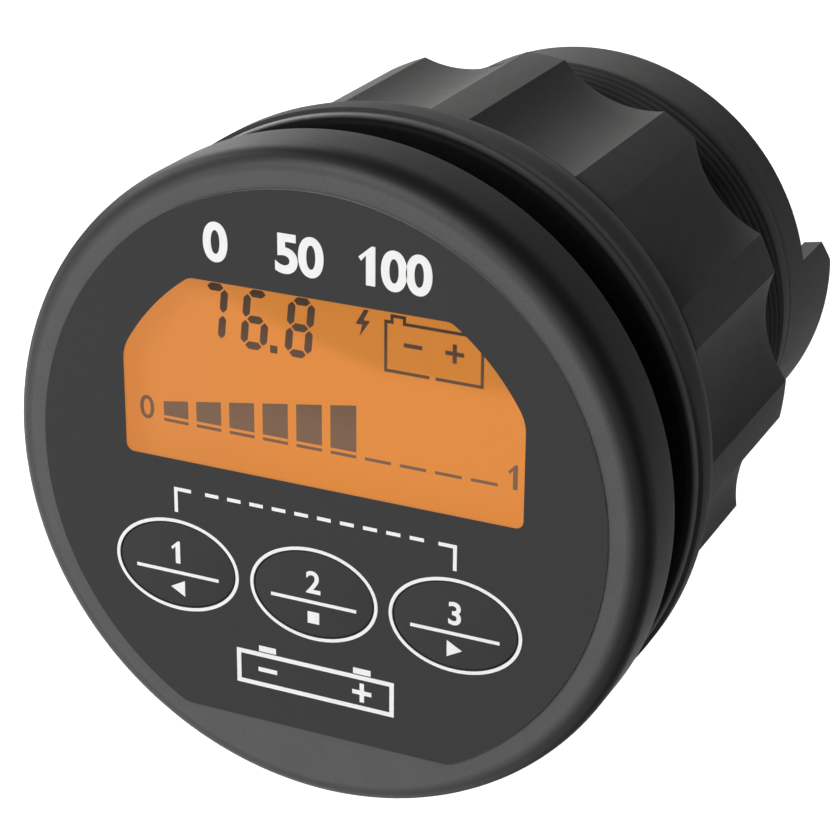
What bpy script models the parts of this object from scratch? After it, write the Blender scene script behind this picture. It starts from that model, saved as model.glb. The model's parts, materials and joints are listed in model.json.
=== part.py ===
"""Battery monitor gauge head: a round panel instrument with a lit display and three keys.

Metres, +Z up. The gauge's axis is the Y axis and its face looks toward -Y. The origin is on
that axis, at the rear face of the flange, where the panel seats. Behind the panel a fluted
lock ring runs on the barrel's thread and pushes a washer against the panel.
"""
import math

import bmesh
import bpy
from mathutils import Vector

# Fit between neighbouring pieces
GAP = 0.0003
WELD = 3e-7
SMOOTH_ANGLE = math.radians(35)
FULL_TURN = 2 * math.pi

# Flange and bezel, turned shapes
BEZEL_RADIUS = 0.0320
BEZEL_FRONT = -0.00710
BEZEL_FACE_RADIUS = 0.0303
BEZEL_SHOULDER_DEPTH = 0.00220
BEZEL_SHOULDER_STEPS = 5
BEZEL_SKIRT_RADIUS = 0.0304
BEZEL_SEAT = -0.00485
BEZEL_BACK = -GAP
BEZEL_FLOOR_FRONT = -0.00665
BEZEL_FLOOR_BACK = -0.00525
BEZEL_FLOOR_RADIUS = 0.0289
EDGE_ROUND = 0.00035
FLANGE_RADIUS = BEZEL_SKIRT_RADIUS - GAP
FLANGE_FRONT = BEZEL_SEAT + GAP
FLANGE_CAVITY_RADIUS = 0.0286
FLANGE_CAVITY_BACK = -0.0016
ROUND_SEGMENTS = 72
CORNER_STEPS = 3

# Face sheet: a circle with a flat at the bottom
LABEL_RADIUS = 0.02842
LABEL_CHORD = 0.02485
LABEL_CORNER = 0.0025
LABEL_STEPS = 48
OVERLAY_FRONT = -0.00735
OVERLAY_BACK = -0.00695

# Display window: straight bottom, sides and top, with arcs between the sides and the top
WINDOW_SHIFT = 0.00055
WINDOW_HALF_WIDTH = 0.02002
WINDOW_BOTTOM = 0.00055
WINDOW_TOP = 0.0187
WINDOW_SIDE_ARC = 0.0227
WINDOW_LOWER_CORNER = 0.0008
WINDOW_SHOULDER_CORNER = 0.0040
WINDOW_TOP_CORNER = 0.0015
WINDOW_ARC_STEPS = 4
WINDOW_CORNER_STEPS = 3
LENS_GROW = 0.0009
LENS_DEPTH = 0.0010

# Keys: oval pads that slide back onto push switches
KEY_PLACES = {"left": -0.0144, "centre": -0.00005, "right": 0.0142}
KEY_HEIGHT = -0.0103
KEY_HOLE = (0.00615, 0.0043)
KEY_FLANGE = (0.0069, 0.0050)
KEY_FLANGE_DEPTH = 0.0007
KEY_STEM_RADIUS = 0.0016
KEY_STEM_DEPTH = 0.0011
KEY_SEGMENTS = 32
PLUNGER_RADIUS = 0.0017
PLUNGER_DEPTH = 0.0015
SWITCH_WIDTH = 0.0060
SWITCH_FRONT = -0.0023
SWITCH_WELL_BACK = -0.0005
SMALL_SEGMENTS = 16

# Display stack
LCD_FRONT = -0.00485
LCD_BACK = -0.00295
LCD_HALF_WIDTH = 0.0209
LCD_BOTTOM = -0.0022
LCD_TOP = 0.0189
LCD_CORNER_CUT = 0.0050
HOLDER_BOTTOM = -0.0039
HOLDER_BACK = -0.00195
HOLDER_STEPS = 40
GUIDE_HALF_WIDTH = 0.0192
GUIDE_BOTTOM = 0.0008
GUIDE_TOP = 0.0184
GUIDE_SIDE_ARC = 0.0224
GUIDE_BACK = -0.0002
LED_SIZE = (0.0015, 0.0024, 0.0030)
LED_HEIGHT = 0.0065
ZEBRA_SIZE = (0.0320, 0.00265, 0.0024)
ZEBRA_HEIGHT = -0.0008

# Circuit boards and what sits on them
BOARD_THICKNESS = 0.0016
DISPLAY_BOARD_FRONT = 0.0003
DISPLAY_BOARD_RADIUS = 0.0226
CHIP_SIZE = (0.0100, 0.0014, 0.0100)
CHIP_HEIGHT = 0.0090
CRYSTAL_SIZE = (0.0020, 0.0020, 0.0060)
CRYSTAL_PLACE = (0.0092, 0.0080)
SOCKET_SIZE = (0.0210, 0.0054, 0.0060)
SOCKET_SLOT_DEPTH = 0.0039
TONGUE_HALF_WIDTH = 0.0090
TONGUE_FRONT = 0.0042
MAIN_BOARD_HALF_WIDTH = 0.0200
MAIN_BOARD_FRONT = 0.0080
MAIN_BOARD_BACK = 0.0560
MAIN_BOARD_HEIGHT = -0.0030
RELAY_SIZE = (0.0150, 0.0190, 0.0110)
RELAY_PLACE = (-0.0045, 0.0360)
CHOKE_RADIUS = 0.0055
CHOKE_CORE_RADIUS = 0.0040
CHOKE_HEIGHT = 0.0085
CHOKE_LIP = 0.0015
CHOKE_PLACE = (-0.0050, 0.0190)
CAPACITOR_RADIUS = 0.0040
CAPACITOR_HEIGHT = 0.0105
CAPACITOR_PLACE = (0.0085, 0.0320)
MEASURING_CHIP_SIZE = (0.0075, 0.0100, 0.0022)
MEASURING_CHIP_PLACE = (0.0075, 0.0180)

# Rear connector
HEADER_HALF_WIDTH = 0.0120
HEADER_TOP = 0.0066
HEADER_FRONT = 0.0500
HEADER_BACK = 0.0640
HEADER_WALL = 0.0010
HEADER_FLOOR = 0.0550
PIN_COUNT = 6
PIN_PITCH = 0.0036
PIN_WIDTH = 0.0010
PIN_HEIGHT = 0.0026
PIN_LEG_FRONT = 0.0484
PIN_TIP = 0.0625

# Barrel of the housing
BARREL_ROOT = 0.0251
BARREL_CREST = 0.02585
BARREL_BORE = 0.0231
BARREL_SEGMENTS = 36
THREAD_PITCH = 0.0015
THREAD_START = 0.0020
THREAD_TURNS = 33
THREAD_RUN_OUT = 12
THREAD_CLEAR = 0.0005
BARREL_RIM = 0.06165
LIP_RADIUS = 0.0213
LIP_FRONT = 0.0603
SHROUD_BACK = 0.07165
SHROUD_CORNER = 0.0030
SHROUD_FIRST_STEP = 8
SHROUD_LAST_STEP = 28

# Seal in the flange
GROOVE_INNER = 0.0268
GROOVE_OUTER = 0.0288
GROOVE_DEPTH = 0.0007

# Washer and lock ring
WASHER_FRONT = 0.0062
WASHER_BACK = 0.0075
WASHER_INNER = 0.0263
WASHER_OUTER = 0.0315
WASHER_EDGE = 0.0007
RING_FRONT = WASHER_BACK + GAP
RING_FLANGE_RADIUS = 0.0319
RING_FLANGE_EDGE = 0.0004
RING_FLANGE_BACK = 0.0098
RING_NECK = 0.01545
RING_FLUTE_START = 0.0162
RING_BACK = 0.03965
RING_BACK_EDGE = 0.00035
LAND_RADIUS = 0.0300
LAND_ANGLE = math.radians(7.9)
LAND_PHASE = math.radians(5.27)
FLUTE_COUNT = 12
FLUTE_STEPS = 5
FLUTE_CUT_RADIUS = 0.0136
FLUTE_CUT_DISTANCE = 0.0418
RING_BORE = 0.02615
RING_CREST = 0.0254
RING_THREAD_OFFSET = 15.5
RING_THREAD_TURNS = 7
RING_BORE_EDGE = 0.0006

# Rear cover with its pillars and screws
COVER_FRONT = 0.0580
COVER_BACK = 0.0600
COVER_RADIUS = 0.0228
PILLAR_RADIUS = 0.0020
PILLAR_SIDE = 0.0145
PILLAR_HEIGHT = 0.0100
SCREW_RADIUS = 0.0009
SCREW_TIP = 0.0510
SCREW_HEAD_RADIUS = 0.0026
SCREW_HEAD_DEPTH = 0.0016
SCREW_SLOT_LENGTH = 0.0078
SCREW_SLOT_WIDTH = 0.0007
SCREW_SLOT_DEPTH = 0.0007

# Colour, roughness and metallic value of each finish
FINISHES = {
    "bezel": ((0.014, 0.014, 0.015), 0.45, 0.0),
    "barrel": ((0.012, 0.012, 0.013), 0.40, 0.0),
    "sheet": ((0.045, 0.045, 0.050), 0.40, 0.0),
    "lens": ((0.900, 0.900, 0.900), 0.05, 0.0),
    "display": ((0.830, 0.300, 0.065), 0.25, 0.0),
    "key": ((0.048, 0.048, 0.052), 0.42, 0.0),
    "rubber": ((0.006, 0.006, 0.006), 0.80, 0.0),
    "milky": ((0.800, 0.790, 0.740), 0.35, 0.0),
    "board": ((0.020, 0.110, 0.045), 0.45, 0.0),
    "component": ((0.018, 0.018, 0.018), 0.50, 0.0),
    "steel": ((0.560, 0.560, 0.570), 0.30, 1.0),
    "brass": ((0.720, 0.520, 0.200), 0.30, 1.0),
}


def clear_scene():
    """Remove every object that the scene starts with."""
    for old in list(bpy.data.objects):
        bpy.data.objects.remove(old, do_unlink=True)


def make_finish(name, finish):
    """One material for one piece, from its finish."""
    colour, roughness, metallic = FINISHES[finish]
    material = bpy.data.materials.new(name + "_finish")
    material.use_nodes = True
    shader = material.node_tree.nodes["Principled BSDF"]
    shader.inputs["Base Color"].default_value = (*colour, 1.0)
    shader.inputs["Roughness"].default_value = roughness
    shader.inputs["Metallic"].default_value = metallic
    return material


def add_empty(name, place, parent=None):
    """A plain axis marker that pieces hang on."""
    marker = bpy.data.objects.new(name, None)
    bpy.context.scene.collection.objects.link(marker)
    marker.location = place
    marker.parent = parent
    return marker


def add_object(name, shape, parent):
    """Turn a finished bmesh into a smooth-shaded object."""
    bmesh.ops.recalc_face_normals(shape, faces=shape.faces)
    mesh = bpy.data.meshes.new(name)
    shape.to_mesh(mesh)
    shape.free()
    mesh.shade_smooth()
    mesh.set_sharp_from_angle(angle=SMOOTH_ANGLE)
    made = bpy.data.objects.new(name, mesh)
    bpy.context.scene.collection.objects.link(made)
    made.parent = parent
    return made


def add_piece(name, shape, finish, parent):
    """One sub-part with its own material."""
    piece = add_object(name, shape, parent)
    piece.data.materials.append(make_finish(name, finish))
    return piece


def cut(piece, label, shape):
    """Cut a shape out of a piece, and keep the cutter as a hidden wire object."""
    cutter = add_object(piece.name + "_" + label + "_cutter", shape, piece.parent)
    cutter.hide_render = True
    cutter.display_type = "WIRE"
    boolean = piece.modifiers.new(label, "BOOLEAN")
    boolean.operation = "DIFFERENCE"
    boolean.solver = "EXACT"
    boolean.object = cutter


def arc(centre, radius, start, end, steps):
    """Points on an arc in the X-Z plane, angles in degrees from +X toward +Z."""
    points = []
    for step in range(steps + 1):
        angle = math.radians(start + (end - start) * step / steps)
        points.append((centre[0] + radius * math.cos(angle), centre[1] + radius * math.sin(angle)))
    return points


def label_outline(grow):
    """A circle with a flat at the bottom and rounded corners, grown by an offset."""
    corner_z = LABEL_CORNER - LABEL_CHORD
    corner_x = math.sqrt((LABEL_RADIUS - LABEL_CORNER) ** 2 - corner_z ** 2)
    low = math.degrees(math.atan2(corner_z, corner_x))
    corner = LABEL_CORNER + grow
    points = arc((0, 0), LABEL_RADIUS + grow, low, 180 - low, LABEL_STEPS)
    points += arc((-corner_x, corner_z), corner, 180 - low, 270, CORNER_STEPS)[1:]
    points += arc((corner_x, corner_z), corner, 270, 360 + low, CORNER_STEPS)[:-1]
    return points


def arched_outline(half_width, bottom, top, side_arc, shift, grow):
    """The window's shape: flat sides and top with arcs between, rounded corners, grown by an offset."""
    shoulder_x = half_width - WINDOW_SHOULDER_CORNER
    shoulder_z = math.sqrt((side_arc - WINDOW_SHOULDER_CORNER) ** 2 - shoulder_x ** 2)
    shoulder = math.degrees(math.atan2(shoulder_z, shoulder_x))
    crown_z = top - WINDOW_TOP_CORNER
    crown_x = math.sqrt((side_arc - WINDOW_TOP_CORNER) ** 2 - crown_z ** 2)
    crown = math.degrees(math.atan2(crown_z, crown_x))
    foot_x = half_width - WINDOW_LOWER_CORNER
    foot_z = bottom + WINDOW_LOWER_CORNER
    right = arc((foot_x, foot_z), WINDOW_LOWER_CORNER + grow, -90, 0, CORNER_STEPS)
    right += arc((shoulder_x, shoulder_z), WINDOW_SHOULDER_CORNER + grow, 0, shoulder, WINDOW_CORNER_STEPS)
    right += arc((0, 0), side_arc + grow, shoulder, crown, WINDOW_ARC_STEPS)[1:]
    right += arc((crown_x, crown_z), WINDOW_TOP_CORNER + grow, crown, 90, WINDOW_CORNER_STEPS)[1:]
    left = [(-x, z) for x, z in reversed(right)]
    return [(x + shift, z) for x, z in right + left]


def window_outline(grow):
    """Outline of the display window."""
    return arched_outline(WINDOW_HALF_WIDTH, WINDOW_BOTTOM, WINDOW_TOP, WINDOW_SIDE_ARC, WINDOW_SHIFT, grow)


def oval(half_width, half_height, count, centre=(0, 0)):
    """Points round an ellipse in the X-Z plane."""
    points = []
    for step in range(count):
        angle = FULL_TURN * step / count
        points.append((centre[0] + half_width * math.cos(angle), centre[1] + half_height * math.sin(angle)))
    return points


def rectangle(low, high):
    """Corner points of a rectangle, anticlockwise."""
    return [(low[0], low[1]), (high[0], low[1]), (high[0], high[1]), (low[0], high[1])]


def extruded(points, travel):
    """Sweep a flat outline of 3-D points along a vector."""
    shape = bmesh.new()
    face = shape.faces.new([shape.verts.new(point) for point in points])
    swept = bmesh.ops.extrude_face_region(shape, geom=[face])
    moved = [item for item in swept["geom"] if isinstance(item, bmesh.types.BMVert)]
    bmesh.ops.translate(shape, verts=moved, vec=travel)
    return shape


def slab(outline, front, back):
    """An X-Z outline swept along the gauge's axis."""
    return extruded([(x, front, z) for x, z in outline], (0, back - front, 0))


def block(centre, size):
    """A plain box."""
    half = Vector(size) / 2
    low = Vector(centre) - half
    high = Vector(centre) + half
    return slab(rectangle((low.x, low.z), (high.x, high.z)), low.y, high.y)


def turned(profile, segments):
    """Spin (radius, y) points round the Y axis: a closed loop, or a line from axis to axis."""
    shape = bmesh.new()
    rim = [shape.verts.new((radius, y, 0)) for radius, y in profile]
    edges = [shape.edges.new(pair) for pair in zip(rim, rim[1:])]
    if profile[0][0] > 0:
        edges.append(shape.edges.new((rim[-1], rim[0])))
    bmesh.ops.spin(shape, geom=rim + edges, cent=(0, 0, 0), axis=(0, 1, 0), angle=FULL_TURN, steps=segments)
    bmesh.ops.remove_doubles(shape, verts=shape.verts, dist=WELD)
    return shape


def stacked(levels, count, centre=(0, 0)):
    """Oval rings of (half width, half height, y) joined in order and capped at both ends."""
    shape = bmesh.new()
    rings = []
    for half_width, half_height, y in levels:
        points = oval(half_width, half_height, count, centre)
        rings.append([shape.verts.new((x, y, z)) for x, z in points])
    for low, high in zip(rings, rings[1:]):
        join_rings(shape, low, high)
    shape.faces.new(rings[0])
    shape.faces.new(rings[-1])
    return shape


def standing(levels, place, base):
    """Round rings of (radius, height) stacked up from a base height."""
    shape = stacked([(radius, radius, height) for radius, height in levels], SMALL_SEGMENTS)
    for vert in shape.verts:
        x, height, z = vert.co
        vert.co = (place[0] + x, place[1] - z, base + height)
    return shape


def polar(radius, turn, y):
    """A point at an angle from +Z toward +X round the Y axis."""
    return (radius * math.sin(turn), y, radius * math.cos(turn))


def add_ring(shape, radius, y, count):
    """A ring of evenly spaced points round the Y axis."""
    return [shape.verts.new(polar(radius, FULL_TURN * step / count, y)) for step in range(count)]


def join_rings(shape, low, high):
    """Close the band between two rings of equal count."""
    count = len(low)
    for step in range(count):
        after = (step + 1) % count
        shape.faces.new((low[step], low[after], high[after], high[step]))


def join_half(shape, fine, coarse):
    """Close the band between a ring and one with half its count."""
    count = len(coarse)
    for step in range(count):
        after = (step + 1) % count
        middle = 2 * step + 1
        shape.faces.new((coarse[step], fine[2 * step], fine[middle]))
        shape.faces.new((coarse[step], fine[middle], coarse[after]))
        shape.faces.new((coarse[after], fine[middle], fine[2 * after]))


def add_thread(shape, low, high, root, crest, start, turns):
    """A right-hand V thread between two rings, with its crest fading out at both ends."""
    count = len(low)
    last = turns * count
    valley = []
    for step in range(last + count + 1):
        angle = FULL_TURN * step / count
        valley.append(shape.verts.new(polar(root, angle, start + THREAD_PITCH * step / count)))
    ridge = []
    for step in range(last + 1):
        angle = FULL_TURN * step / count
        rise = min(1.0, step / THREAD_RUN_OUT, (last - step) / THREAD_RUN_OUT)
        radius = root + (crest - root) * rise
        ridge.append(shape.verts.new(polar(radius, angle, start + THREAD_PITCH * (step / count + 0.5))))
    for step in range(last):
        shape.faces.new((valley[step], valley[step + 1], ridge[step + 1], ridge[step]))
        shape.faces.new((ridge[step], ridge[step + 1], valley[step + count + 1], valley[step + count]))
    for step in range(count - 1):
        shape.faces.new((low[step], low[step + 1], valley[step + 1], valley[step]))
        after = last + step + 1
        shape.faces.new((valley[after], valley[after + 1], high[(step + 2) % count], high[step + 1]))
    shape.faces.new((low[-1], low[0], valley[0], ridge[0], valley[count], valley[count - 1]))
    shape.faces.new((high[0], high[1], valley[last + 1], valley[last], ridge[last], valley[last + count]))


def flute_angles():
    """Angles round the lock ring: both edges of each land, and the steps across each flute."""
    period = FULL_TURN / FLUTE_COUNT
    flute = period - LAND_ANGLE
    angles = []
    for number in range(FLUTE_COUNT):
        land = LAND_PHASE + number * period
        angles.append((land - LAND_ANGLE / 2, LAND_RADIUS))
        for step in range(FLUTE_STEPS):
            across = flute * (step / FLUTE_STEPS - 0.5)
            reach = FLUTE_CUT_DISTANCE * math.sin(across)
            depth = math.sqrt(FLUTE_CUT_RADIUS ** 2 - reach ** 2)
            floor = FLUTE_CUT_DISTANCE * math.cos(across) - depth
            angles.append((land + LAND_ANGLE / 2 + flute * step / FLUTE_STEPS, min(floor, LAND_RADIUS)))
    return angles


def make_shroud(shape, outer, inner):
    """Close the barrel's rear rim, and stand the half-round shroud on its lower half."""
    count = len(outer)
    ends = {}
    for step in range(SHROUD_FIRST_STEP, SHROUD_LAST_STEP + 1):
        corner = SHROUD_CORNER if step in (SHROUD_FIRST_STEP, SHROUD_LAST_STEP) else 0
        angle = FULL_TURN * step / count
        back = SHROUD_BACK - corner
        ends[step] = (shape.verts.new(polar(BARREL_ROOT, angle, back)),
                      shape.verts.new(polar(BARREL_BORE, angle, back)))
    for step in range(count):
        after = (step + 1) % count
        if SHROUD_FIRST_STEP <= step < SHROUD_LAST_STEP:
            shape.faces.new((outer[step], outer[after], ends[after][0], ends[step][0]))
            shape.faces.new((ends[step][0], ends[after][0], ends[after][1], ends[step][1]))
            shape.faces.new((ends[step][1], ends[after][1], inner[after], inner[step]))
        else:
            shape.faces.new((outer[step], outer[after], inner[after], inner[step]))
    for step in (SHROUD_FIRST_STEP, SHROUD_LAST_STEP):
        shape.faces.new((outer[step], ends[step][0], ends[step][1], inner[step]))


def make_housing(parent):
    """Flange, threaded barrel, rear rim with its inner lip, and the rear shroud, in one moulding."""
    shape = bmesh.new()
    flange = ((FLANGE_CAVITY_RADIUS, FLANGE_CAVITY_BACK),
              (FLANGE_CAVITY_RADIUS, FLANGE_FRONT),
              (FLANGE_RADIUS, FLANGE_FRONT),
              (FLANGE_RADIUS, 0),
              (GROOVE_OUTER, 0),
              (GROOVE_OUTER, -GROOVE_DEPTH),
              (GROOVE_INNER, -GROOVE_DEPTH),
              (GROOVE_INNER, 0))
    rings = [add_ring(shape, radius, y, ROUND_SEGMENTS) for radius, y in flange]
    for low, high in zip(rings, rings[1:]):
        join_rings(shape, low, high)
    thread_end = THREAD_START + THREAD_PITCH * (THREAD_TURNS + 1)
    foot = add_ring(shape, BARREL_ROOT, 0, BARREL_SEGMENTS)
    low = add_ring(shape, BARREL_ROOT, THREAD_START - THREAD_CLEAR, BARREL_SEGMENTS)
    high = add_ring(shape, BARREL_ROOT, thread_end + THREAD_CLEAR, BARREL_SEGMENTS)
    rim = add_ring(shape, BARREL_ROOT, BARREL_RIM, BARREL_SEGMENTS)
    join_half(shape, rings[-1], foot)
    join_rings(shape, foot, low)
    add_thread(shape, low, high, BARREL_ROOT, BARREL_CREST, THREAD_START, THREAD_TURNS)
    join_rings(shape, high, rim)
    bore = ((BARREL_BORE, BARREL_RIM), (LIP_RADIUS, BARREL_RIM), (LIP_RADIUS, LIP_FRONT),
            (BARREL_BORE, LIP_FRONT), (BARREL_BORE, FLANGE_CAVITY_BACK))
    inside = [add_ring(shape, radius, y, BARREL_SEGMENTS) for radius, y in bore]
    make_shroud(shape, rim, inside[0])
    for low, high in zip(inside, inside[1:]):
        join_rings(shape, low, high)
    join_half(shape, rings[0], inside[-1])
    add_piece("housing", shape, "barrel", parent)


def make_lock_ring(parent):
    """Fluted ring with a smooth front flange and an inside thread that runs on the barrel."""
    shape = bmesh.new()
    around = flute_angles()
    rings = []
    for radius, y in ((RING_FLANGE_RADIUS - RING_FLANGE_EDGE, RING_FRONT),
                      (RING_FLANGE_RADIUS, RING_FRONT + RING_FLANGE_EDGE),
                      (RING_FLANGE_RADIUS, RING_FLANGE_BACK),
                      (LAND_RADIUS, RING_NECK)):
        rings.append([shape.verts.new(polar(radius, angle, y)) for angle, _ in around])
    for inset, y in ((0, RING_FLUTE_START), (0, RING_BACK - RING_BACK_EDGE), (RING_BACK_EDGE, RING_BACK)):
        rings.append([shape.verts.new(polar(floor - inset, angle, y)) for angle, floor in around])
    for low, high in zip(rings, rings[1:]):
        join_rings(shape, low, high)
    start = THREAD_START + THREAD_PITCH * RING_THREAD_OFFSET
    end = start + THREAD_PITCH * (RING_THREAD_TURNS + 1)
    inside = []
    for radius, y in ((RING_BORE + RING_BORE_EDGE, RING_FRONT),
                      (RING_BORE, RING_FRONT + RING_BORE_EDGE),
                      (RING_BORE, start - THREAD_CLEAR),
                      (RING_BORE, end + THREAD_CLEAR),
                      (RING_BORE, RING_BACK - RING_BORE_EDGE),
                      (RING_BORE + RING_BORE_EDGE, RING_BACK)):
        inside.append(add_ring(shape, radius, y, BARREL_SEGMENTS))
    join_half(shape, rings[0], inside[0])
    join_rings(shape, inside[0], inside[1])
    join_rings(shape, inside[1], inside[2])
    add_thread(shape, inside[2], inside[3], RING_BORE, RING_CREST, start, RING_THREAD_TURNS)
    join_rings(shape, inside[3], inside[4])
    join_rings(shape, inside[4], inside[5])
    join_half(shape, rings[-1], inside[5])
    add_piece("lock_ring", shape, "barrel", parent)


def make_clamp_washer(parent):
    """Washer between the lock ring and the panel, with a sloped front edge."""
    profile = ((WASHER_INNER, WASHER_FRONT),
               (WASHER_INNER, WASHER_BACK),
               (WASHER_OUTER, WASHER_BACK),
               (WASHER_OUTER, WASHER_FRONT + WASHER_EDGE),
               (WASHER_OUTER - WASHER_EDGE, WASHER_FRONT))
    add_piece("clamp_washer", turned(profile, ROUND_SEGMENTS), "rubber", parent)


def make_panel_gasket(parent):
    """Seal in the groove of the flange's rear face, drawn pressed flush."""
    inner = GROOVE_INNER + GAP
    outer = GROOVE_OUTER - GAP
    front = GAP - GROOVE_DEPTH
    profile = ((inner, front), (inner, 0), (outer, 0), (outer, front))
    add_piece("panel_gasket", turned(profile, ROUND_SEGMENTS), "rubber", parent)


def make_front_bezel(parent):
    """Round cap with a rounded shoulder, a skirt over the flange, a window opening and three key holes."""
    profile = [(0, BEZEL_FRONT)]
    for step in range(BEZEL_SHOULDER_STEPS + 1):
        turn = math.pi / 2 * step / BEZEL_SHOULDER_STEPS
        radius = BEZEL_FACE_RADIUS + (BEZEL_RADIUS - BEZEL_FACE_RADIUS) * math.sin(turn)
        profile.append((radius, BEZEL_FRONT + BEZEL_SHOULDER_DEPTH * (1 - math.cos(turn))))
    profile += [(BEZEL_RADIUS, BEZEL_BACK - EDGE_ROUND),
                (BEZEL_RADIUS - EDGE_ROUND, BEZEL_BACK),
                (BEZEL_SKIRT_RADIUS, BEZEL_BACK),
                (BEZEL_SKIRT_RADIUS, BEZEL_SEAT),
                (BEZEL_FLOOR_RADIUS, BEZEL_SEAT),
                (BEZEL_FLOOR_RADIUS, BEZEL_FLOOR_BACK),
                (0, BEZEL_FLOOR_BACK)]
    bezel = add_piece("front_bezel", turned(profile, ROUND_SEGMENTS), "bezel", parent)
    front = BEZEL_FRONT - LENS_DEPTH
    cut(bezel, "sheet_recess", slab(label_outline(0), front, BEZEL_FLOOR_FRONT))
    cut(bezel, "window", slab(window_outline(LENS_GROW + GAP), front, BEZEL_SEAT))
    for side, x in KEY_PLACES.items():
        hole = slab(oval(*KEY_HOLE, KEY_SEGMENTS, (x, KEY_HEIGHT)), front, BEZEL_SEAT)
        cut(bezel, "key_" + side, hole)


def make_face_overlay(parent):
    """Thin dark face sheet with the window and the key openings."""
    sheet = slab(label_outline(-GAP), OVERLAY_FRONT, OVERLAY_BACK)
    overlay = add_piece("face_overlay", sheet, "sheet", parent)
    front = OVERLAY_FRONT - LENS_DEPTH
    back = OVERLAY_BACK + LENS_DEPTH
    cut(overlay, "window", slab(window_outline(0), front, back))
    for side, x in KEY_PLACES.items():
        cut(overlay, "key_" + side, slab(oval(*KEY_HOLE, KEY_SEGMENTS, (x, KEY_HEIGHT)), front, back))


def make_display_stack(parent):
    """Lens, display, holder, light guide with two lamps, and the contact strip."""
    lens = slab(window_outline(LENS_GROW), BEZEL_FLOOR_FRONT, BEZEL_FLOOR_FRONT + LENS_DEPTH)
    add_piece("display_window", lens, "lens", parent)
    add_piece("lcd_glass", slab(lcd_outline(0), LCD_FRONT, LCD_BACK), "display", parent)
    holder_radius = FLANGE_CAVITY_RADIUS - GAP
    low = math.degrees(math.asin(HOLDER_BOTTOM / holder_radius))
    outline = arc((0, 0), holder_radius, low, 180 - low, HOLDER_STEPS)
    plate = slab(outline, BEZEL_FLOOR_BACK + GAP, HOLDER_BACK)
    holder = add_piece("lcd_holder", plate, "milky", parent)
    cut(holder, "display", slab(lcd_outline(GAP), BEZEL_FRONT, 0))
    guide = arched_outline(GUIDE_HALF_WIDTH, GUIDE_BOTTOM, GUIDE_TOP, GUIDE_SIDE_ARC, 0, 0)
    add_piece("backlight_guide", slab(guide, LCD_BACK + GAP, GUIDE_BACK), "milky", parent)
    for side, sign in (("left", -1), ("right", 1)):
        x = sign * (GUIDE_HALF_WIDTH + GAP + LED_SIZE[0] / 2)
        lamp = block((x, DISPLAY_BOARD_FRONT - GAP - LED_SIZE[1] / 2, LED_HEIGHT), LED_SIZE)
        add_piece("backlight_led_" + side, lamp, "milky", parent)
    strip_y = DISPLAY_BOARD_FRONT - GAP - ZEBRA_SIZE[1] / 2
    add_piece("zebra_strip", block((0, strip_y, ZEBRA_HEIGHT), ZEBRA_SIZE), "rubber", parent)


def lcd_outline(grow):
    """Display glass: a rectangle with its two upper corners cut off."""
    right = LCD_HALF_WIDTH + grow
    top = LCD_TOP + grow
    slant = LCD_CORNER_CUT
    return [(-right, LCD_BOTTOM - grow), (right, LCD_BOTTOM - grow), (right, top - slant),
            (right - slant, top), (slant - right, top), (-right, top - slant)]


def make_key(side, x, parent):
    """One key with its switch: the key and the plunger share an empty on their line of travel."""
    axis = add_empty("key_axis_" + side, (x, 0, KEY_HEIGHT), parent)
    pad = (KEY_HOLE[0] - GAP, KEY_HOLE[1] - GAP)
    flange_front = BEZEL_FLOOR_BACK + GAP
    flange_back = flange_front + KEY_FLANGE_DEPTH
    stem_back = flange_back + KEY_STEM_DEPTH
    levels = ((*pad, OVERLAY_FRONT), (*pad, flange_front),
              (*KEY_FLANGE, flange_front), (*KEY_FLANGE, flange_back),
              (KEY_STEM_RADIUS, KEY_STEM_RADIUS, flange_back), (KEY_STEM_RADIUS, KEY_STEM_RADIUS, stem_back))
    add_piece("key_" + side, stacked(levels, KEY_SEGMENTS), "key", axis)
    plunger_front = stem_back + GAP
    plunger = stacked(((PLUNGER_RADIUS, PLUNGER_RADIUS, plunger_front),
                       (PLUNGER_RADIUS, PLUNGER_RADIUS, plunger_front + PLUNGER_DEPTH)), SMALL_SEGMENTS)
    add_piece("switch_plunger_" + side, plunger, "component", axis)
    half = SWITCH_WIDTH / 2
    body = slab(rectangle((-half, -half), (half, half)), SWITCH_FRONT, DISPLAY_BOARD_FRONT - GAP)
    switch = add_piece("switch_body_" + side, body, "component", axis)
    well = PLUNGER_RADIUS + GAP
    well_levels = ((well, well, SWITCH_FRONT - GAP), (well, well, SWITCH_WELL_BACK))
    cut(switch, "well", stacked(well_levels, SMALL_SEGMENTS))


def make_display_board(parent):
    """Round front board with its controller, clock crystal and the socket for the main board."""
    board_back = DISPLAY_BOARD_FRONT + BOARD_THICKNESS
    outline = oval(DISPLAY_BOARD_RADIUS, DISPLAY_BOARD_RADIUS, BARREL_SEGMENTS)
    add_piece("display_board", slab(outline, DISPLAY_BOARD_FRONT, board_back), "board", parent)
    seat = board_back + GAP
    chip = block((0, seat + CHIP_SIZE[1] / 2, CHIP_HEIGHT), CHIP_SIZE)
    add_piece("controller_chip", chip, "component", parent)
    crystal_x, crystal_z = CRYSTAL_PLACE
    crystal = block((crystal_x, seat + CRYSTAL_SIZE[1] / 2, crystal_z), CRYSTAL_SIZE)
    add_piece("clock_crystal", crystal, "steel", parent)
    socket_back = seat + SOCKET_SIZE[1]
    body = block((0, seat + SOCKET_SIZE[1] / 2, MAIN_BOARD_HEIGHT), SOCKET_SIZE)
    socket = add_piece("board_socket", body, "component", parent)
    slot_size = (2 * (TONGUE_HALF_WIDTH + GAP), 2 * SOCKET_SLOT_DEPTH, BOARD_THICKNESS + 2 * GAP)
    cut(socket, "slot", block((0, socket_back, MAIN_BOARD_HEIGHT), slot_size))


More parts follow.
